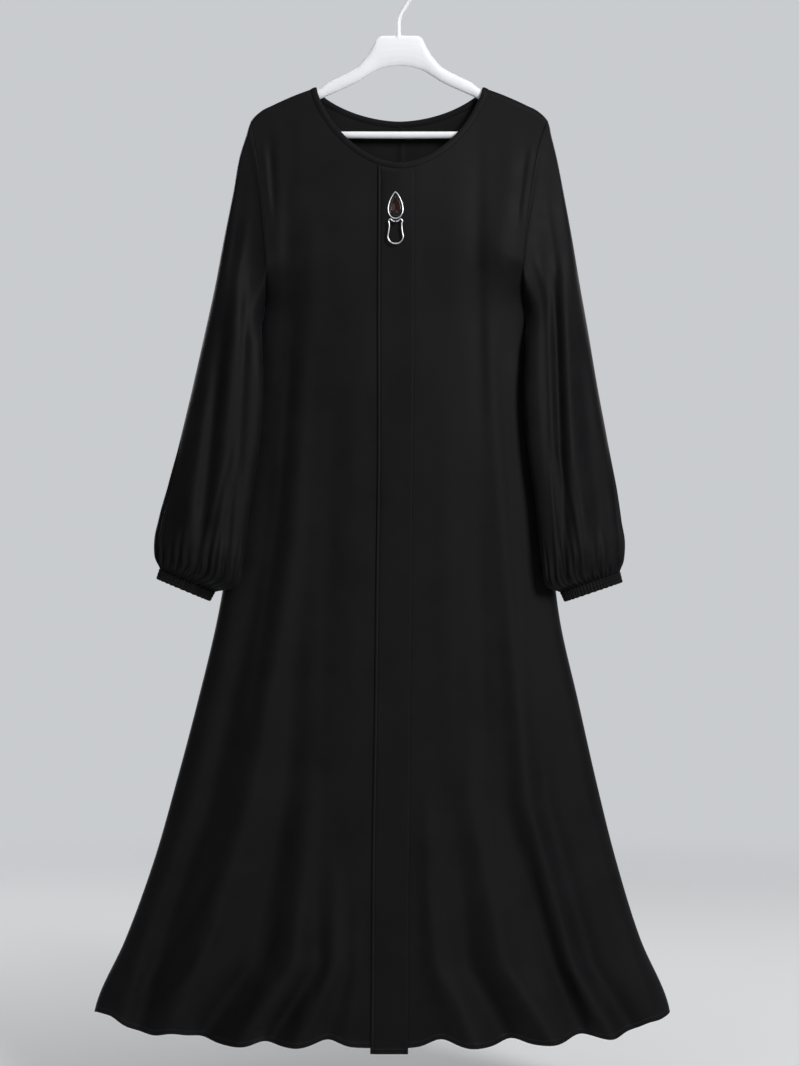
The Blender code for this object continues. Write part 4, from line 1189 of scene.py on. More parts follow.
@dataclass
class Effects:
    """The shared effects of this garment and its hanger."""

    groups: dict[str, bpy.types.ShaderNodeTree] = field(default_factory=dict)

    def crepe_grain(self) -> None:
        """Pebbled crepe threads as a height, from the cloth's own thread map."""
        made = Effect(Grain.CREPE.value,
                      (Socket("Threads", VECTOR), Socket("Place", VECTOR), Socket("Pitch", FLOAT, 1500)),
                      (Socket("Height", FLOAT), Socket("Nap", FLOAT)))
        split = made.add("ShaderNodeSeparateXYZ")
        made.join(made.entry.outputs["Threads"], split.inputs[0])
        waver = made.add("ShaderNodeTexNoise")
        waver.inputs["Scale"].default_value = 420
        waver.inputs["Detail"].default_value = 2
        made.join(made.entry.outputs["Threads"], waver.inputs["Vector"])
        bend = made.value("MULTIPLY", made.value("SUBTRACT", waver.outputs[0], 0.5), 5.5)
        waves = []
        for k in (0, 1):
            run = made.value("MULTIPLY", split.outputs[k], made.entry.outputs["Pitch"])
            waves.append(made.value("SINE", made.value("ADD", run, bend)))
        weave = made.value("MULTIPLY", waves[0], waves[1])
        pebble = made.add("ShaderNodeTexVoronoi", feature="SMOOTH_F1")
        pebble.inputs["Scale"].default_value = 950
        made.join(made.entry.outputs["Threads"], pebble.inputs["Vector"])
        height = made.value("ADD", made.value("MULTIPLY", weave, 0.35), pebble.outputs["Distance"])
        made.join(height, made.exit.inputs["Height"])
        nap = made.add("ShaderNodeTexNoise")
        nap.inputs["Scale"].default_value = 16
        nap.inputs["Detail"].default_value = 5
        nap.inputs["Roughness"].default_value = 0.62
        made.join(made.entry.outputs["Place"], nap.inputs["Vector"])
        spread = made.add("ShaderNodeMapRange")
        spread.inputs["From Min"].default_value = 0.32
        spread.inputs["From Max"].default_value = 0.68
        made.join(nap.outputs[0], spread.inputs["Value"])
        made.join(spread.outputs[0], made.exit.inputs["Nap"])
        self.groups[made.name] = made.tree

    def moulded_grain(self) -> None:
        """Faint flow marks and a light haze on moulded plastic."""
        made = Effect(Grain.MOULDED.value, (Socket("Place", VECTOR), Socket("Scale", FLOAT, 60)),
                      (Socket("Height", FLOAT), Socket("Haze", FLOAT)))
        for output, scale, detail in (("Height", 6.0, 3), ("Haze", 0.5, 4)):
            noise = made.add("ShaderNodeTexNoise")
            noise.inputs["Detail"].default_value = detail
            made.join(made.entry.outputs["Place"], noise.inputs["Vector"])
            made.join(made.value("MULTIPLY", made.entry.outputs["Scale"], scale), noise.inputs["Scale"])
            made.join(noise.outputs[0], made.exit.inputs[output])
        self.groups[made.name] = made.tree

    def fine_scratches(self) -> None:
        """Hairline wear and dulled patches on polished plating."""
        made = Effect(Grain.SCRATCHED.value, (Socket("Place", VECTOR), Socket("Scale", FLOAT, 900)),
                      (Socket("Height", FLOAT), Socket("Dull", FLOAT)))
        stretch = made.add("ShaderNodeMapping")
        stretch.inputs["Scale"].default_value = (1.0, 1.0, 0.12)
        stretch.inputs["Rotation"].default_value = (0.4, 0.2, 0.7)
        made.join(made.entry.outputs["Place"], stretch.inputs["Vector"])
        lines = made.add("ShaderNodeTexNoise")
        lines.inputs["Detail"].default_value = 3
        made.join(stretch.outputs[0], lines.inputs["Vector"])
        made.join(made.entry.outputs["Scale"], lines.inputs["Scale"])
        made.join(lines.outputs[0], made.exit.inputs["Height"])
        patches = made.add("ShaderNodeTexNoise")
        patches.inputs["Scale"].default_value = 260
        patches.inputs["Detail"].default_value = 4
        made.join(made.entry.outputs["Place"], patches.inputs["Vector"])
        made.join(patches.outputs[0], made.exit.inputs["Dull"])
        self.groups[made.name] = made.tree

    def build(self) -> None:
        """Makes every shared effect."""
        self.crepe_grain()
        self.moulded_grain()
        self.fine_scratches()


@dataclass(frozen=True)
class Finish:
    """A finish: its Principled values and the shared grain that varies them."""

    name: str
    dark: tuple[float, float, float]
    light: tuple[float, float, float]
    rough: tuple[float, float]
    grain: Grain
    grain_scale: float
    bump: float
    bump_depth: float
    settings: tuple[tuple[str, float], ...] = ()
    tint: tuple[float, float, float] | None = None

    def build(self, effects: Effects) -> bpy.types.Material:
        """Makes the material.

        Args:
            effects: The shared effects.

        Returns:
            The material.
        """
        material = bpy.data.materials.new(self.name)
        material.use_nodes = True
        tree = material.node_tree
        shader = tree.nodes["Principled BSDF"]
        for name, value in self.settings:
            shader.inputs[name].default_value = value
        if self.tint is not None:
            shader.inputs["Sheen Tint"].default_value = (*self.tint, 1)
        place = tree.nodes.new("ShaderNodeTexCoord")
        grain = tree.nodes.new("ShaderNodeGroup")
        grain.node_tree = effects.groups[self.grain.value]
        tree.links.new(place.outputs["Object"], grain.inputs["Place"])
        if self.grain is Grain.CREPE:
            tree.links.new(place.outputs["UV"], grain.inputs["Threads"])
            grain.inputs["Pitch"].default_value = self.grain_scale
        else:
            grain.inputs["Scale"].default_value = self.grain_scale
        mask = grain.outputs[1]
        colour = tree.nodes.new("ShaderNodeMix")
        colour.data_type = "RGBA"
        colour.inputs[6].default_value = (*self.dark, 1)
        colour.inputs[7].default_value = (*self.light, 1)
        tree.links.new(mask, colour.inputs[0])
        tree.links.new(colour.outputs[2], shader.inputs["Base Color"])
        rough = tree.nodes.new("ShaderNodeMapRange")
        rough.inputs["To Min"].default_value = self.rough[0]
        rough.inputs["To Max"].default_value = self.rough[1]
        tree.links.new(mask, rough.inputs["Value"])
        tree.links.new(rough.outputs[0], shader.inputs["Roughness"])
        bump = tree.nodes.new("ShaderNodeBump")
        bump.inputs["Strength"].default_value = self.bump
        bump.inputs["Distance"].default_value = self.bump_depth
        tree.links.new(grain.outputs["Height"], bump.inputs["Height"])
        tree.links.new(bump.outputs[0], shader.inputs["Normal"])
        return material


CREPE = Finish(
    "black_crepe", (0.0044, 0.0043, 0.0049), (0.0068, 0.0067, 0.0075), (0.56, 0.68), Grain.CREPE, 7400, 0.30,
    0.00012, (("Sheen Weight", 0.02), ("Sheen Roughness", 0.4), ("Specular IOR Level", 0.10)),
    (0.85, 0.85, 0.95))
BAND_CREPE = Finish(
    "black_crepe_band", (0.0042, 0.0041, 0.0047), (0.0064, 0.0063, 0.0071), (0.56, 0.68), Grain.CREPE, 7400,
    0.30, 0.00012, (("Sheen Weight", 0.02), ("Sheen Roughness", 0.4), ("Specular IOR Level", 0.10)),
    (0.85, 0.85, 0.95))
THREAD = Finish(
    "black_thread", (0.010, 0.010, 0.012), (0.020, 0.020, 0.022), (0.40, 0.55), Grain.CREPE, 9000, 0.3,
    0.00008, (("Sheen Weight", 0.3),), (0.8, 0.8, 0.9))
PLASTIC = Finish(
    "white_moulding", (0.80, 0.81, 0.835), (0.86, 0.87, 0.89), (0.26, 0.38), Grain.MOULDED, 60, 0.08,
    0.0002, (("Coat Weight", 0.15), ("Coat Roughness", 0.2)))
SILVER = Finish(
    "polished_plating", (0.84, 0.84, 0.86), (0.93, 0.93, 0.94), (0.26, 0.36), Grain.SCRATCHED, 500, 0.03,
    0.00002, (("Metallic", 1.0),))
SMOKED = Finish(
    "smoked_plating", (0.030, 0.030, 0.036), (0.060, 0.060, 0.068), (0.22, 0.34), Grain.SCRATCHED, 500, 0.03,
    0.00002, (("Metallic", 1.0),))
ENAMEL = Finish(
    "black_enamel", (0.006, 0.006, 0.007), (0.012, 0.012, 0.013), (0.10, 0.25), Grain.MOULDED, 300, 0.05,
    0.00005, (("Coat Weight", 0.8), ("Coat Roughness", 0.06)))
STONE = Finish(
    "smoky_stone", (0.010, 0.0025, 0.002), (0.026, 0.008, 0.006), (0.10, 0.18), Grain.MOULDED, 220, 0.02,
    0.00003, (("Coat Weight", 0.35), ("Coat Roughness", 0.12), ("Specular IOR Level", 0.45)))


# ---------------------------------------------------------------- modelling by hand


def start_mesh(name: str) -> bpy.types.Object:
    """Names the primitive that was just added and opens it in edit mode."""
    piece = bpy.context.object
    piece.name = name
    bpy.ops.object.mode_set(mode="EDIT")
    return piece


def end_mesh(piece: bpy.types.Object, material: bpy.types.Material, angle: float = 40) -> bpy.types.Object:
    """Closes edit mode, turns faces out, shades smooth by angle and puts the place in the mesh.

    Args:
        piece: The mesh being modelled.
        material: The piece's finish.
        angle: Largest angle that is shaded smooth, in degrees.

    Returns:
        The finished piece.
    """
    if piece.mode == "EDIT":
        bpy.ops.mesh.select_all(action="SELECT")
        bpy.ops.mesh.normals_make_consistent(inside=False)
        bpy.ops.object.mode_set(mode="OBJECT")
    bpy.ops.object.select_all(action="DESELECT")
    piece.select_set(True)
    bpy.context.view_layer.objects.active = piece
    bpy.ops.object.transform_apply(location=True, rotation=True, scale=True)
    bpy.ops.object.shade_smooth_by_angle(angle=math.radians(angle))
    piece.data.materials.clear()
    piece.data.materials.append(material)
    return piece


def shape_loop(outline: Sequence[tuple[float, float, float]], name: str) -> bpy.types.Object:
    """Adds a circle and moves its points one by one onto an outline.

    Args:
        outline: Places in millimetres, in order.
        name: Name of the new piece.

    Returns:
        The piece, open in edit mode.
    """
    bpy.ops.object.select_all(action="DESELECT")
    bpy.ops.mesh.primitive_circle_add(vertices=len(outline), radius=0.01, fill_type="NOTHING",
                                      location=(0, 0, 0))
    piece = start_mesh(name)
    mesh = bmesh.from_edit_mesh(piece.data)
    mesh.verts.ensure_lookup_table()
    for point, place in zip(mesh.verts, outline):
        for other in mesh.verts:
            other.select_set(False)
        point.select_set(True)
        mesh.select_flush_mode()
        step = [place[k] * MM - point.co[k] for k in range(3)]
        bpy.ops.transform.translate(value=step)
    bmesh.update_edit_mesh(piece.data)
    return piece


def bent_wire(name: str, path: Sequence[tuple[float, float, float]], radius: float,
              material: bpy.types.Material) -> bpy.types.Object:
    """A closed round wire along a loop of points, in millimetres.

    Args:
        name: Name of the piece.
        path: Centre line, in millimetres.
        radius: Radius of the wire, in millimetres.
        material: The piece's finish.

    Returns:
        The wire.
    """
    piece = shape_loop(path, name)
    bpy.ops.object.mode_set(mode="OBJECT")
    bpy.ops.object.convert(target="CURVE")
    piece = bpy.context.object
    piece.data.bevel_depth = radius * MM
    piece.data.bevel_resolution = 5
    piece.data.use_fill_caps = True
    bpy.ops.object.convert(target="MESH")
    piece = bpy.context.object
    return end_mesh(piece, material, 60)


def loft_up(piece: bpy.types.Object, levels: Sequence[tuple[float, float]],
            middle: tuple[float, float, float], bottom: bool = True) -> None:
    """Fills an open loop and extrudes it forward level by level.

    Args:
        piece: A piece in edit mode, with its loop at the first level.
        levels: How far forward each further level stands, and its size against the first.
        middle: Point that the levels shrink towards, in millimetres.
        bottom: Whether the first loop gets a face.
    """
    bpy.ops.mesh.select_all(action="SELECT")
    if bottom:
        bpy.ops.mesh.edge_face_add()
    size, out = 1.0, 0.0
    for level_out, level_size in levels:
        bpy.ops.mesh.extrude_region_move(TRANSFORM_OT_translate={"value": (0, -(level_out - out) * MM, 0)})
        ratio = level_size / size
        centre = (middle[0] * MM, (middle[1] - level_out) * MM, middle[2] * MM)
        bpy.ops.transform.resize(value=(ratio, 1, ratio), center_override=centre)
        size, out = level_size, level_out


# ---------------------------------------------------------------- pendant


@dataclass
class Pendant:
    """Teardrop setting on the placket, with its eye and the ring that swings from it."""

    placket: Placket
    x: float = -5.6
    top: float = -313.5
    height: float = 39
    width: float = 25
    wire: float = 1.0
    lug_wire: float = 0.8
    lug_rise: float = 2.5
    lug_reach: float = 5.0
    gap: float = 0.3

    RING = ((0, 0), (2.8, 0.4), (4.9, 1.7), (6.3, 3.3), (7.8, 3.2), (9.3, 1.6), (9.9, -0.3), (8.9, -2.0),
            (8.7, -5.0), (8.9, -9.4), (9.7, -14.4), (10.7, -19.4), (10.6, -23.4), (8.4, -27.3), (4.6, -30.2))

    def placket_face(self, x: float, z: float) -> float:
        """Depth of the placket's plain face at a place."""
        t = np.array(0.5)
        return float(self.placket.face_y(np.array(float(x)), np.array(float(z)), t))

    def teardrop(self, scale: tuple[float, float], count: int) -> list[tuple[float, float]]:
        """Outline of the pear shape, point up.

        Args:
            scale: Half the width and half the height, in millimetres.
            count: Number of points.

        Returns:
            Points round the outline, x and z.
        """
        outline = []
        for k in range(count):
            turn = 2 * math.pi * (k + 0.5) / count
            x = math.sin(turn) * math.sqrt(math.sin(turn / 2) ** 2 + 0.17) * 1.04
            outline.append((x * scale[0], math.cos(turn) * scale[1]))
        return outline

    def laid(self, outline: Sequence[tuple[float, float]], proud: float) -> list[tuple[float, float, float]]:
        """Lays an outline over the placket."""
        middle = self.top - self.height / 2
        return [(self.x + x, self.placket_face(self.x + x, middle + z) - proud, middle + z)
                for x, z in outline]

    @property
    def half(self) -> tuple[float, float]:
        """Half-width and half-height of the wire's centre line."""
        return self.width / 2 - self.wire, self.height / 2 - self.wire

    @property
    def middle(self) -> tuple[float, float, float]:
        """Middle of the setting on the placket's face."""
        z = self.top - self.height / 2
        return self.x, self.placket_face(self.x, z), z

    def pivot(self) -> tuple[float, float, float]:
        """Middle of the ring's top bar, on its hinge line."""
        lug_z = self.top - self.height - self.gap - self.lug_rise - self.lug_wire
        y = self.placket_face(self.x, lug_z) - 2 * self.gap - self.lug_reach - self.lug_wire
        return self.x, y, lug_z - (self.lug_rise - self.lug_wire - self.wire - self.gap)

    def ring_path(self) -> list[tuple[float, float, float]]:
        """Centre line of the pull ring, smoothed through its corners.

        Returns:
            Points round the ring, in millimetres.
        """
        right = [np.array(p, float) for p in self.RING]
        left = [np.array((-x, z)) for x, z in reversed(self.RING[1:])]
        corners = right + [np.array((0.0, -31.1))] + left
        px, py, pz = self.pivot()
        path = []
        for k, here in enumerate(corners):
            before, after = corners[k - 1], corners[(k + 1) % len(corners)]
            beyond = corners[(k + 2) % len(corners)]
            for t in (0.0, 0.25, 0.5, 0.75):
                square = 2 * before - 5 * here + 4 * after - beyond
                cube = 3 * here - before - 3 * after + beyond
                point = 0.5 * (2 * here + (after - before) * t + square * t**2 + cube * t**3)
                path.append((px + point[0], py, pz + point[1]))
        return path

    def build(self, silver: bpy.types.Material, smoked: bpy.types.Material,
              enamel: bpy.types.Material, stone: bpy.types.Material) -> None:
        """Builds the setting, the eye and the ring.

        Args:
            silver: Finish of the wire and the ring.
            smoked: Finish of the eye.
            enamel: Finish of the back plate and the stone's rim.
            stone: Finish of the stone.
        """
        frame_line = self.laid(self.teardrop(self.half, 72), self.gap + 0.2 + self.wire)
        setting = bent_wire("teardrop_wire", frame_line, self.wire, silver)
        self.settle(setting, "abaya", "pendant_frame")

        scale = (self.half[0] - self.wire - 0.9, self.half[1] - self.wire - 2.4)
        plate = shape_loop(self.laid(self.teardrop(scale, 44), self.gap), "teardrop_plate")
        loft_up(plate, ((0.9, 1.0), (1.2, 0.96)), self.middle)
        end_mesh(plate, enamel, 30)
        self.settle(plate, "abaya", "pendant_plate")

        seat = 2 * self.gap + 1.2
        cut = self.teardrop((self.half[0] * 0.62, self.half[1] * 0.66), 16)
        gem = shape_loop(self.laid([(x * 0.94, z * 0.94) for x, z in cut], seat), "teardrop_stone")
        loft_up(gem, ((1.0, 1.06), (1.5, 1.00)), self.middle)
        self.crown(gem, 1.5)
        end_mesh(gem, stone, 5)
        self.settle(gem, "abaya", "pendant_stone")

        rim = self.teardrop((self.half[0] * 0.66, self.half[1] * 0.70), 48)
        prongs = shape_loop(self.laid(rim, seat - 0.1), "stone_bezel")
        bpy.ops.object.mode_set(mode="OBJECT")
        bpy.ops.object.convert(target="CURVE")
        prongs = bpy.context.object
        prongs.data.bevel_depth = 0.35 * MM
        prongs.data.bevel_resolution = 3
        bpy.ops.object.convert(target="MESH")
        prongs = end_mesh(bpy.context.object, enamel, 60)
        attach(prongs, "abaya")

        px, py, _ = self.pivot()
        lug_z = self.top - self.height - self.gap - self.lug_rise - self.lug_wire
        bpy.ops.object.select_all(action="DESELECT")
        bpy.ops.mesh.primitive_torus_add(location=(px * MM, py * MM, lug_z * MM),
                                         rotation=(0, math.pi / 2, 0), major_radius=self.lug_reach * MM,
                                         minor_radius=self.lug_wire * MM,
                                         major_segments=40, minor_segments=14)
        lug = start_mesh("ring_eye")
        mesh = bmesh.from_edit_mesh(lug.data)
        squeeze = (self.lug_rise) / self.lug_reach
        for point in mesh.verts:
            radial = math.hypot(point.co.x, point.co.y)
            keep = self.lug_reach * MM / max(radial, 1e-9)
            middle_x, middle_y = point.co.x * keep, point.co.y * keep
            point.co.x = middle_x * squeeze + (point.co.x - middle_x)
            point.co.y = middle_y + (point.co.y - middle_y)
        bmesh.update_edit_mesh(lug.data)
        end_mesh(lug, smoked, 60)
        self.settle(lug, "abaya", "pendant_lug")

        ring = bent_wire("swinging_ring", self.ring_path(), self.wire, silver)
        self.settle(ring, "pull_ring", "pull_ring")

    def crown(self, gem: bpy.types.Object, start: float) -> None:
        """Raises a keeled crown on the stone, its ridge off to one side."""
        x, y, z = self.middle
        bpy.ops.mesh.extrude_region_move(TRANSFORM_OT_translate={"value": (0, -1.9 * MM, 0)})
        ridge = ((x + 1.3) * MM, (y - start - 1.9) * MM, (z - 0.6) * MM)
        bpy.ops.transform.resize(value=(0.30, 1, 0.62), center_override=ridge)

    def settle(self, piece: bpy.types.Object, body: str, node: str) -> None:
        """Rides a piece on its body, in place of its CAD solid."""
        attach(piece, body)
        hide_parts(node)
        log.info("%s: %d faces", piece.name, len(piece.data.polygons))


# ---------------------------------------------------------------- hanger


@dataclass
class Hanger:
    """The moulded hanger: block and arms, end posts, trouser bar and hook, blended into one."""

    form: BodyForm
    half_depth: float = 5.0
    edge: float = 2.4
    clearance: float = 3.9
    reach: float = 200
    bar_z: float = -228
    bar_radius: float = 5.3
    bar_half: float = 190
    hook_radius: float = 3.5
    hook_bend: float = 22.5
    hook_centre: float = -19
    shank_x: float = -1.5
    block_top: float = -86
    voxel: float = 1.15

    def slices(self) -> list[Slice]:
        """Upright sections on one side, from the middle out.

        Returns:
            The sections.
        """
        rows = list(BLOCK)
        for x in (122, 140, 158, 176, 188, 195):
            top = float(self.form.ridge(np.array(float(x)))) - self.clearance
            rows.append(Slice(x, top, top - 15.5))
        tip = float(self.form.ridge(np.array(self.reach))) - self.clearance
        rows.append(Slice(self.reach, tip - 3, tip - 13))
        return rows

    def arms(self) -> bpy.types.Object:
        """Block and arms: a rounded bar's end, extruded from slice to slice.

        Returns:
            The block with both arms.
        """
        half = self.slices()
        rows = [Slice(-row.x, row.top, row.bottom) for row in reversed(half[1:])] + half
        first = rows[0]
        bpy.ops.object.select_all(action="DESELECT")
        bpy.ops.mesh.primitive_circle_add(vertices=16, radius=1 * MM, fill_type="NGON",
                                          location=(first.x * MM, 0, (first.top + first.bottom) / 2 * MM),
                                          rotation=(0, math.pi / 2, 0))
        arms = start_mesh("hanger_moulding")
        height = (first.top - first.bottom) / 2
        start = (first.x * MM, 0, (first.top + first.bottom) / 2 * MM)
        bpy.ops.transform.resize(value=(1, self.half_depth, height), center_override=start)
        for before, row in zip(rows[:-1], rows[1:]):
            old, new = (before.top + before.bottom) / 2, (row.top + row.bottom) / 2
            bpy.ops.mesh.extrude_region_move(
                TRANSFORM_OT_translate={"value": ((row.x - before.x) * MM, 0, (new - old) * MM)})
            ratio = (row.top - row.bottom) / (before.top - before.bottom)
            bpy.ops.transform.resize(value=(1, 1, ratio), center_override=(row.x * MM, 0, new * MM))
        bpy.ops.object.mode_set(mode="OBJECT")
        return arms

    def hook_path(self) -> list[tuple[float, float, float]]:
        """Centre line of the hook.

        Returns:
            Points from the block to the hook's tip, in millimetres.
        """
        x, top = self.shank_x, self.block_top
        path = [(x, 0, top - 8), (x, 0, top + 2), (x, 0, top + 12), (x, 0, top + 20),
                (x + 1.6, 0, top + 26.5), (x + 4.8, 0, top + 32.5)]
        start, stop = math.radians(-52), math.radians(192)
        for k in range(41):
            turn = start + (stop - start) * k / 40
            across, up = self.hook_bend * math.cos(turn), self.hook_bend * math.sin(turn)
            path.append((across, 0, self.hook_centre + up))
        return path

    def rod(self, name: str, path: Sequence[tuple[float, float, float]], radius: float) -> bpy.types.Object:
        """A round rod along a path, closed at both ends: a disc extruded from point to point.

        Args:
            name: Name of the rod.
            path: Centre line, in millimetres.
            radius: Radius of the rod, in millimetres.

        Returns:
            The rod.
        """
        bpy.ops.object.select_all(action="DESELECT")
        points = np.array(path)
        steps = np.gradient(points, axis=0)
        first = steps[0] / np.linalg.norm(steps[0])
        tilt = math.atan2(first[0], first[2])
        bpy.ops.mesh.primitive_circle_add(vertices=20, radius=radius * MM, fill_type="NGON",
                                          location=tuple(points[0] * MM), rotation=(0, tilt, 0))
        piece = start_mesh(name)
        for before, here, step in zip(points[:-1], points[1:], steps[1:]):
            bpy.ops.mesh.extrude_region_move(TRANSFORM_OT_translate={"value": tuple((here - before) * MM)})
            heading = math.atan2(step[0], step[2])
            bpy.ops.transform.rotate(value=-(heading - tilt), orient_axis="Y",
                                     center_override=tuple(here * MM))
            tilt = heading
        bpy.ops.object.mode_set(mode="OBJECT")
        return piece

    def build(self, material: bpy.types.Material) -> bpy.types.Object:
        """Builds the hanger as one blended moulding.

        Args:
            material: The piece's finish.

        Returns:
            The hanger.
        """
        arms = self.arms()
        bar = [(x, 0, self.bar_z) for x in np.linspace(-self.bar_half, self.bar_half, 9)]
        rods = [self.rod("hanger_bar", bar, self.bar_radius),
                self.rod("hanger_hook", self.hook_path(), self.hook_radius)]
        for side in (-1, 1):
            x = side * (self.bar_half - 5.2)
            post = [(x, 0, self.bar_z + 0.4 + step) for step in (0, 8, 16, 21.6)]
            rods.append(self.rod(f"hanger_post_{side + 1}", post, 5.0))
        bpy.ops.object.select_all(action="DESELECT")
        for piece in (arms, *rods):
            piece.select_set(True)
        bpy.context.view_layer.objects.active = arms
        bpy.ops.object.join()
        arms.select_set(True)
        bpy.ops.object.mode_set(mode="EDIT")
        bpy.ops.mesh.select_all(action="SELECT")
        bpy.ops.mesh.normals_make_consistent(inside=False)
        bpy.ops.object.mode_set(mode="OBJECT")
        blend = arms.modifiers.new("blend", "REMESH")
        blend.mode = "VOXEL"
        blend.voxel_size = self.voxel * MM
        bpy.ops.object.modifier_apply(modifier="blend")
        soften = arms.modifiers.new("soften", "SMOOTH")
        soften.factor = 0.5
        soften.iterations = 6
        bpy.ops.object.modifier_apply(modifier="soften")
        end_mesh(arms, material, 70)
        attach(arms, "abaya")
        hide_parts("hanger")
        log.info("%s: %d faces", arms.name, len(arms.data.polygons))
        return arms


# ---------------------------------------------------------------- sewing


@dataclass
class Topstitch:
    """A row of stitches laid on a cloth surface, each a short bent thread."""

    name: str
    pitch: float = 3.0
    length: float = 2.2
    thread: float = 0.16

    def build(self, line: Callable[[float], tuple[Array, Array]], run: float,
              material: bpy.types.Material) -> bpy.types.Object:
        """Builds the row.

        Args:
            line: Gives the place and the outward direction at a distance along the row.
            run: Length of the row.
            material: The thread's finish.

        Returns:
            The row, as one piece.
        """
        points: list[Array] = []
        faces: list[list[int]] = []
        sides, sections = 5, (-0.5, -0.42, 0.0, 0.42, 0.5)
        for k in range(int(run / self.pitch)):
            at = k * self.pitch + 0.5
            start = len(points)
            for section in sections:
                place, out = line(at + self.length * (section + 0.5))
                ahead, _ = line(at + self.length * (section + 0.5) + 0.2)
                heading = (ahead - place) / max(np.linalg.norm(ahead - place), 1e-9)
                aside = np.cross(heading, out)
                sunk = self.thread * (0.7 - 2.2 * (2 * abs(section)) ** 6)
                size = self.thread * (1.0 if abs(section) < 0.5 else 0.5)
                for side in range(sides):
                    turn = 2 * math.pi * side / sides
                    lift, slip = sunk + size * math.cos(turn), size * math.sin(turn)
                    points.append(place + out * lift + aside * slip)
            for ring in range(len(sections) - 1):
                for side in range(sides):
                    a, b = start + ring * sides, start + (ring + 1) * sides
                    following = (side + 1) % sides
                    faces.append([a + side, b + side, b + following, a + following])
            faces.append([start + side for side in range(sides)])
            last = start + (len(sections) - 1) * sides
            faces.append([last + side for side in reversed(range(sides))])
        mesh = bpy.data.meshes.new(self.name)
        mesh.from_pydata((np.array(points) * MM).tolist(), [], faces)
        mesh.update()
        mesh.shade_smooth()
        mesh.materials.append(material)
        mesh.uv_layers.new(name="Threads")
        row = bpy.data.objects.new(self.name, mesh)
        bpy.context.scene.collection.objects.link(row)
        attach(row, "abaya")
        log.info("%s: %d stitches", self.name, int(run / self.pitch))
        return row


def row_line(points: Array, facing: Facing) -> tuple[Callable[[float], tuple[Array, Array]], float]:
    """A line to stitch along a row of points.

    Args:
        points: The row's points, in order.
        facing: Which way the cloth faces.

    Returns:
        A function that gives the place and the outward direction at a distance, and the length to stitch.
    """
    lengths = np.concatenate([[0], np.cumsum(np.linalg.norm(np.diff(points, axis=0), axis=1))])
    out = np.array([0.0, float(facing.value), 0.0])

    def line(at: float) -> tuple[Array, Array]:
        """Place and outward direction at a distance along the row."""
        place = np.array([np.interp(at + 2, lengths, points[:, k]) for k in range(3)])
        return place, out

    return line, float(lengths[-1]) - 6


# ---------------------------------------------------------------- studio


@dataclass(frozen=True)
class Lamp:
    """A soft area light."""

    name: str
    place: tuple[float, float, float]
    aim: tuple[float, float, float]
    size: tuple[float, float]
    power: float
    colour: tuple[float, float, float] = (1, 1, 1)


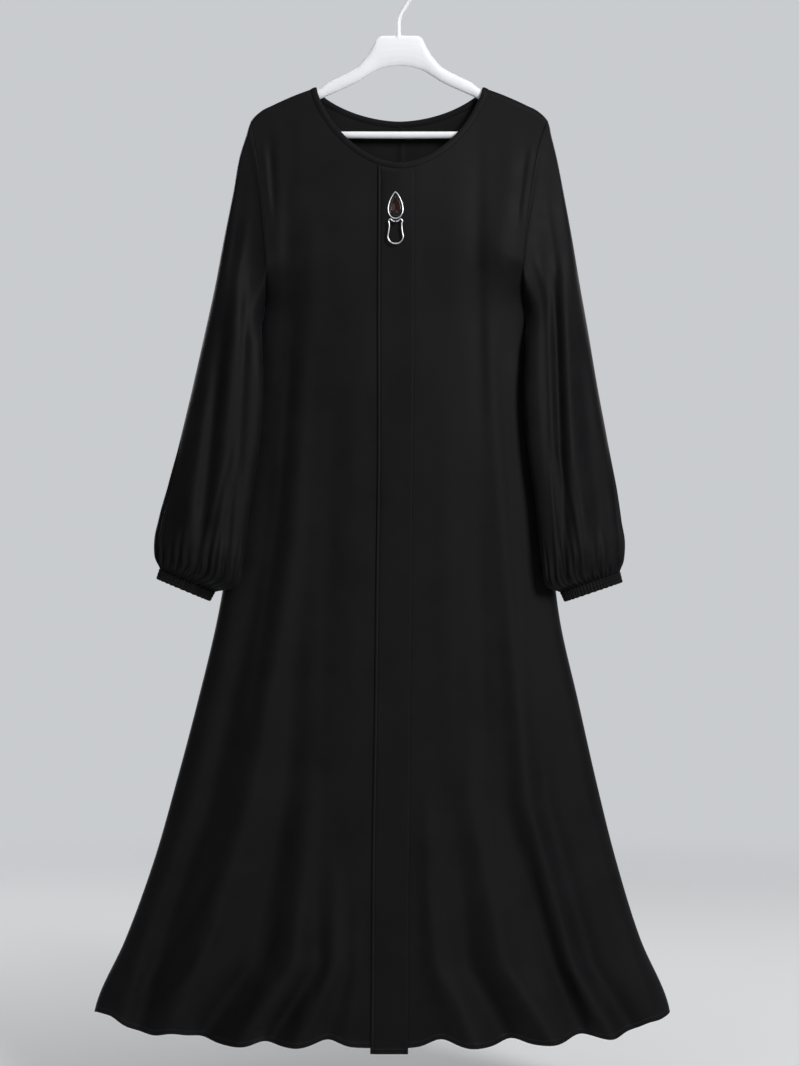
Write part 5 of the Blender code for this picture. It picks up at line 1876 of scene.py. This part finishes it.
@dataclass
class Studio:
    """A pale floor, plain soft light and the camera."""

    floor_z: float = -1.62
    floor_reach: tuple[float, float] = (1.1, 3.2)
    camera_place: tuple[float, float, float] = (0.0, -3.3, -0.794)
    frame: tuple[int, int] = (799, 1066)
    millimetres_a_pixel: float = 1.4226
    ambient: float = 0.13
    backdrop: float = 0.75
    lamps: tuple[Lamp, ...] = (
        Lamp("key", (1.6, -2.5, 0.7), (0.0, 0.0, -0.8), (0.7, 1.2), 84),
        Lamp("fill", (-1.8, -2.8, 0.1), (0.0, 0.0, -0.9), (1.6, 2.0), 7),
        Lamp("top", (0.0, -0.6, 1.7), (0.0, 0.0, -0.8), (1.4, 0.8), 14),
        Lamp("back_left", (-1.8, 2.2, 0.3), (0.0, 0.0, -0.8), (1.0, 1.6), 46),
        Lamp("back_right", (2.0, 1.8, 0.3), (0.0, 0.0, -0.8), (1.0, 1.6), 28),
    )

    def floor(self) -> None:
        """A pale round floor well clear of the hem, which fades into the backdrop."""
        bpy.ops.object.select_all(action="DESELECT")
        bpy.ops.mesh.primitive_circle_add(vertices=96, radius=self.floor_reach[1], fill_type="NGON",
                                          location=(0, 0, self.floor_z))
        floor = bpy.context.object
        floor.name = "studio_floor"
        material = bpy.data.materials.new("pale_floor")
        material.use_nodes = True
        tree = material.node_tree
        shader = tree.nodes["Principled BSDF"]
        shader.inputs["Base Color"].default_value = (0.74, 0.75, 0.76, 1)
        shader.inputs["Roughness"].default_value = 0.85
        shader.inputs["Specular IOR Level"].default_value = 0.1
        place = tree.nodes.new("ShaderNodeTexCoord")
        reach = tree.nodes.new("ShaderNodeVectorMath")
        reach.operation = "LENGTH"
        fade = tree.nodes.new("ShaderNodeMapRange")
        fade.interpolation_type = "SMOOTHSTEP"
        fade.inputs["From Min"].default_value = self.floor_reach[0]
        fade.inputs["From Max"].default_value = self.floor_reach[1]
        fade.inputs["To Min"].default_value = 1
        fade.inputs["To Max"].default_value = 0
        tree.links.new(place.outputs["Object"], reach.inputs[0])
        tree.links.new(reach.outputs["Value"], fade.inputs["Value"])
        tree.links.new(fade.outputs[0], shader.inputs["Alpha"])
        floor.data.materials.append(material)

    def light(self) -> None:
        """Area lights and a pale world."""
        for lamp in self.lamps:
            data = bpy.data.lights.new(lamp.name, "AREA")
            data.shape = "RECTANGLE"
            data.size, data.size_y = lamp.size
            data.energy = lamp.power
            data.color = lamp.colour
            piece = bpy.data.objects.new(lamp.name, data)
            piece.location = lamp.place
            heading = Vector(lamp.aim) - Vector(lamp.place)
            piece.rotation_euler = heading.to_track_quat("-Z", "Y").to_euler()
            bpy.context.scene.collection.objects.link(piece)
        world = bpy.data.worlds.new("pale_studio")
        world.use_nodes = True
        tree = world.node_tree
        seen = tree.nodes.new("ShaderNodeLightPath")
        strength = tree.nodes.new("ShaderNodeMapRange")
        strength.inputs["To Min"].default_value = self.ambient
        strength.inputs["To Max"].default_value = self.backdrop
        tree.links.new(seen.outputs["Is Camera Ray"], strength.inputs["Value"])
        tree.links.new(strength.outputs[0], tree.nodes["Background"].inputs["Strength"])
        tree.nodes["Background"].inputs["Color"].default_value = (0.78, 0.80, 0.83, 1)
        bpy.context.scene.world = world
        bpy.context.scene.view_settings.view_transform = "Standard"

    def camera(self) -> None:
        """Camera square to the front, with the whole garment in frame."""
        data = bpy.data.cameras.new("camera")
        data.sensor_fit = "VERTICAL"
        data.sensor_height = 24
        half_height = self.frame[1] * self.millimetres_a_pixel * MM / 2
        data.lens = 12 / (half_height / -self.camera_place[1])
        piece = bpy.data.objects.new("camera", data)
        piece.location = self.camera_place
        piece.rotation_euler = (math.pi / 2, 0, 0)
        bpy.context.scene.collection.objects.link(piece)
        bpy.context.scene.camera = piece

    def build(self) -> None:
        """Sets the studio up."""
        self.floor()
        self.light()
        self.camera()


# ---------------------------------------------------------------- the whole


@dataclass
class Abaya:
    """The garment, sewn from its pieces and hung on its hanger."""

    form: BodyForm
    effects: Effects

    def build(self) -> None:
        """Builds every piece in the order it is sewn."""
        crepe, band = CREPE.build(self.effects), BAND_CREPE.build(self.effects)
        thread = THREAD.build(self.effects)
        panels = (
            Panel("front_right", self.form, Facing.FRONT, Side.RIGHT, Cut(0.43, 1.37, 0.355)),
            Panel("front_left", self.form, Facing.FRONT, Side.LEFT, Cut(0.43, 1.37, 0.375)),
            Panel("back_right", self.form, Facing.BACK, Side.RIGHT, Cut(0.44, 1.40, 0.375)),
            Panel("back_left", self.form, Facing.BACK, Side.LEFT, Cut(0.43, 1.40, 0.345)),
        )
        for panel in panels:
            panel.build(crepe)
        placket = Placket(self.form, Cut(0.054, 1.25, 0.0675))
        placket.build(band)
        Binding(self.form, Cut(0.011, 0.62, 0.0068)).build(band)
        sleeves = (
            Sleeve("sleeve_right", self.form, Side.RIGHT, SLEEVE_RIGHT, SLEEVE_RIGHT_FRONT, SLEEVE_RIGHT_BACK,
                   Cut(0.40, 0.49, 0.150)),
            Sleeve("sleeve_left", self.form, Side.LEFT, SLEEVE_LEFT, SLEEVE_LEFT_FRONT, SLEEVE_LEFT_BACK,
                   Cut(0.40, 0.49, 0.150)),
        )
        for sleeve in sleeves:
            sleeve.build(crepe)
            cuff_cut = Cut(0.24, 0.0145, 0.00345, "gathered")
            Cuff(sleeve.name.replace("sleeve", "cuff"), sleeve, cuff_cut).build(band)
        self.stitches(placket, panels, thread)
        finishes = (SILVER, SMOKED, ENAMEL, STONE)
        silver, smoked, enamel, stone = (finish.build(self.effects) for finish in finishes)
        Pendant(placket).build(silver, smoked, enamel, stone)
        Hanger(self.form).build(PLASTIC.build(self.effects))

    def stitches(self, placket: Placket, panels: Sequence[Panel], thread: bpy.types.Material) -> None:
        """Topstitching down the placket's left edge, along its foot and round the hem.

        Args:
            placket: The front band.
            panels: The fronts and the backs.
            thread: The thread's finish.
        """
        def edge(at: float) -> tuple[Array, Array]:
            """Place and outward direction down the placket's left edge.

            Args:
                at: Distance up from the lowest stitch, in millimetres.

            Returns:
                A point in millimetres and a unit direction.
            """
            z = placket.bottom + 8 + at
            t = placket.stitch_in / placket.width
            x = float(placket.x_at(np.array(z), np.array(t)))
            y = float(placket.face_y(np.array(x), np.array(z), np.array(t)))
            return np.array([x + 0.35 * math.sin(z / 61) * (1 - t), y + 0.62, z]), np.array([0.0, -1.0, 0.0])

        Topstitch("placket_topstitch").build(edge, 1225, thread)
        line, run = row_line(placket.grid()[HEM_STITCH_ROW], Facing.FRONT)
        Topstitch("placket_foot_stitch").build(line, run, thread)
        for panel in panels:
            line, run = row_line(panel.grid()[HEM_STITCH_ROW], panel.facing)
            Topstitch(panel.name + "_hem_stitch").build(line, run, thread)


def main() -> None:
    """Builds the dressed garment and its studio."""
    logging.basicConfig(level=logging.INFO, format="%(name)s: %(message)s")
    effects = Effects()
    effects.build()
    Abaya(BodyForm(), effects).build()
    Studio().build()


if __name__ == "__main__":
    main()
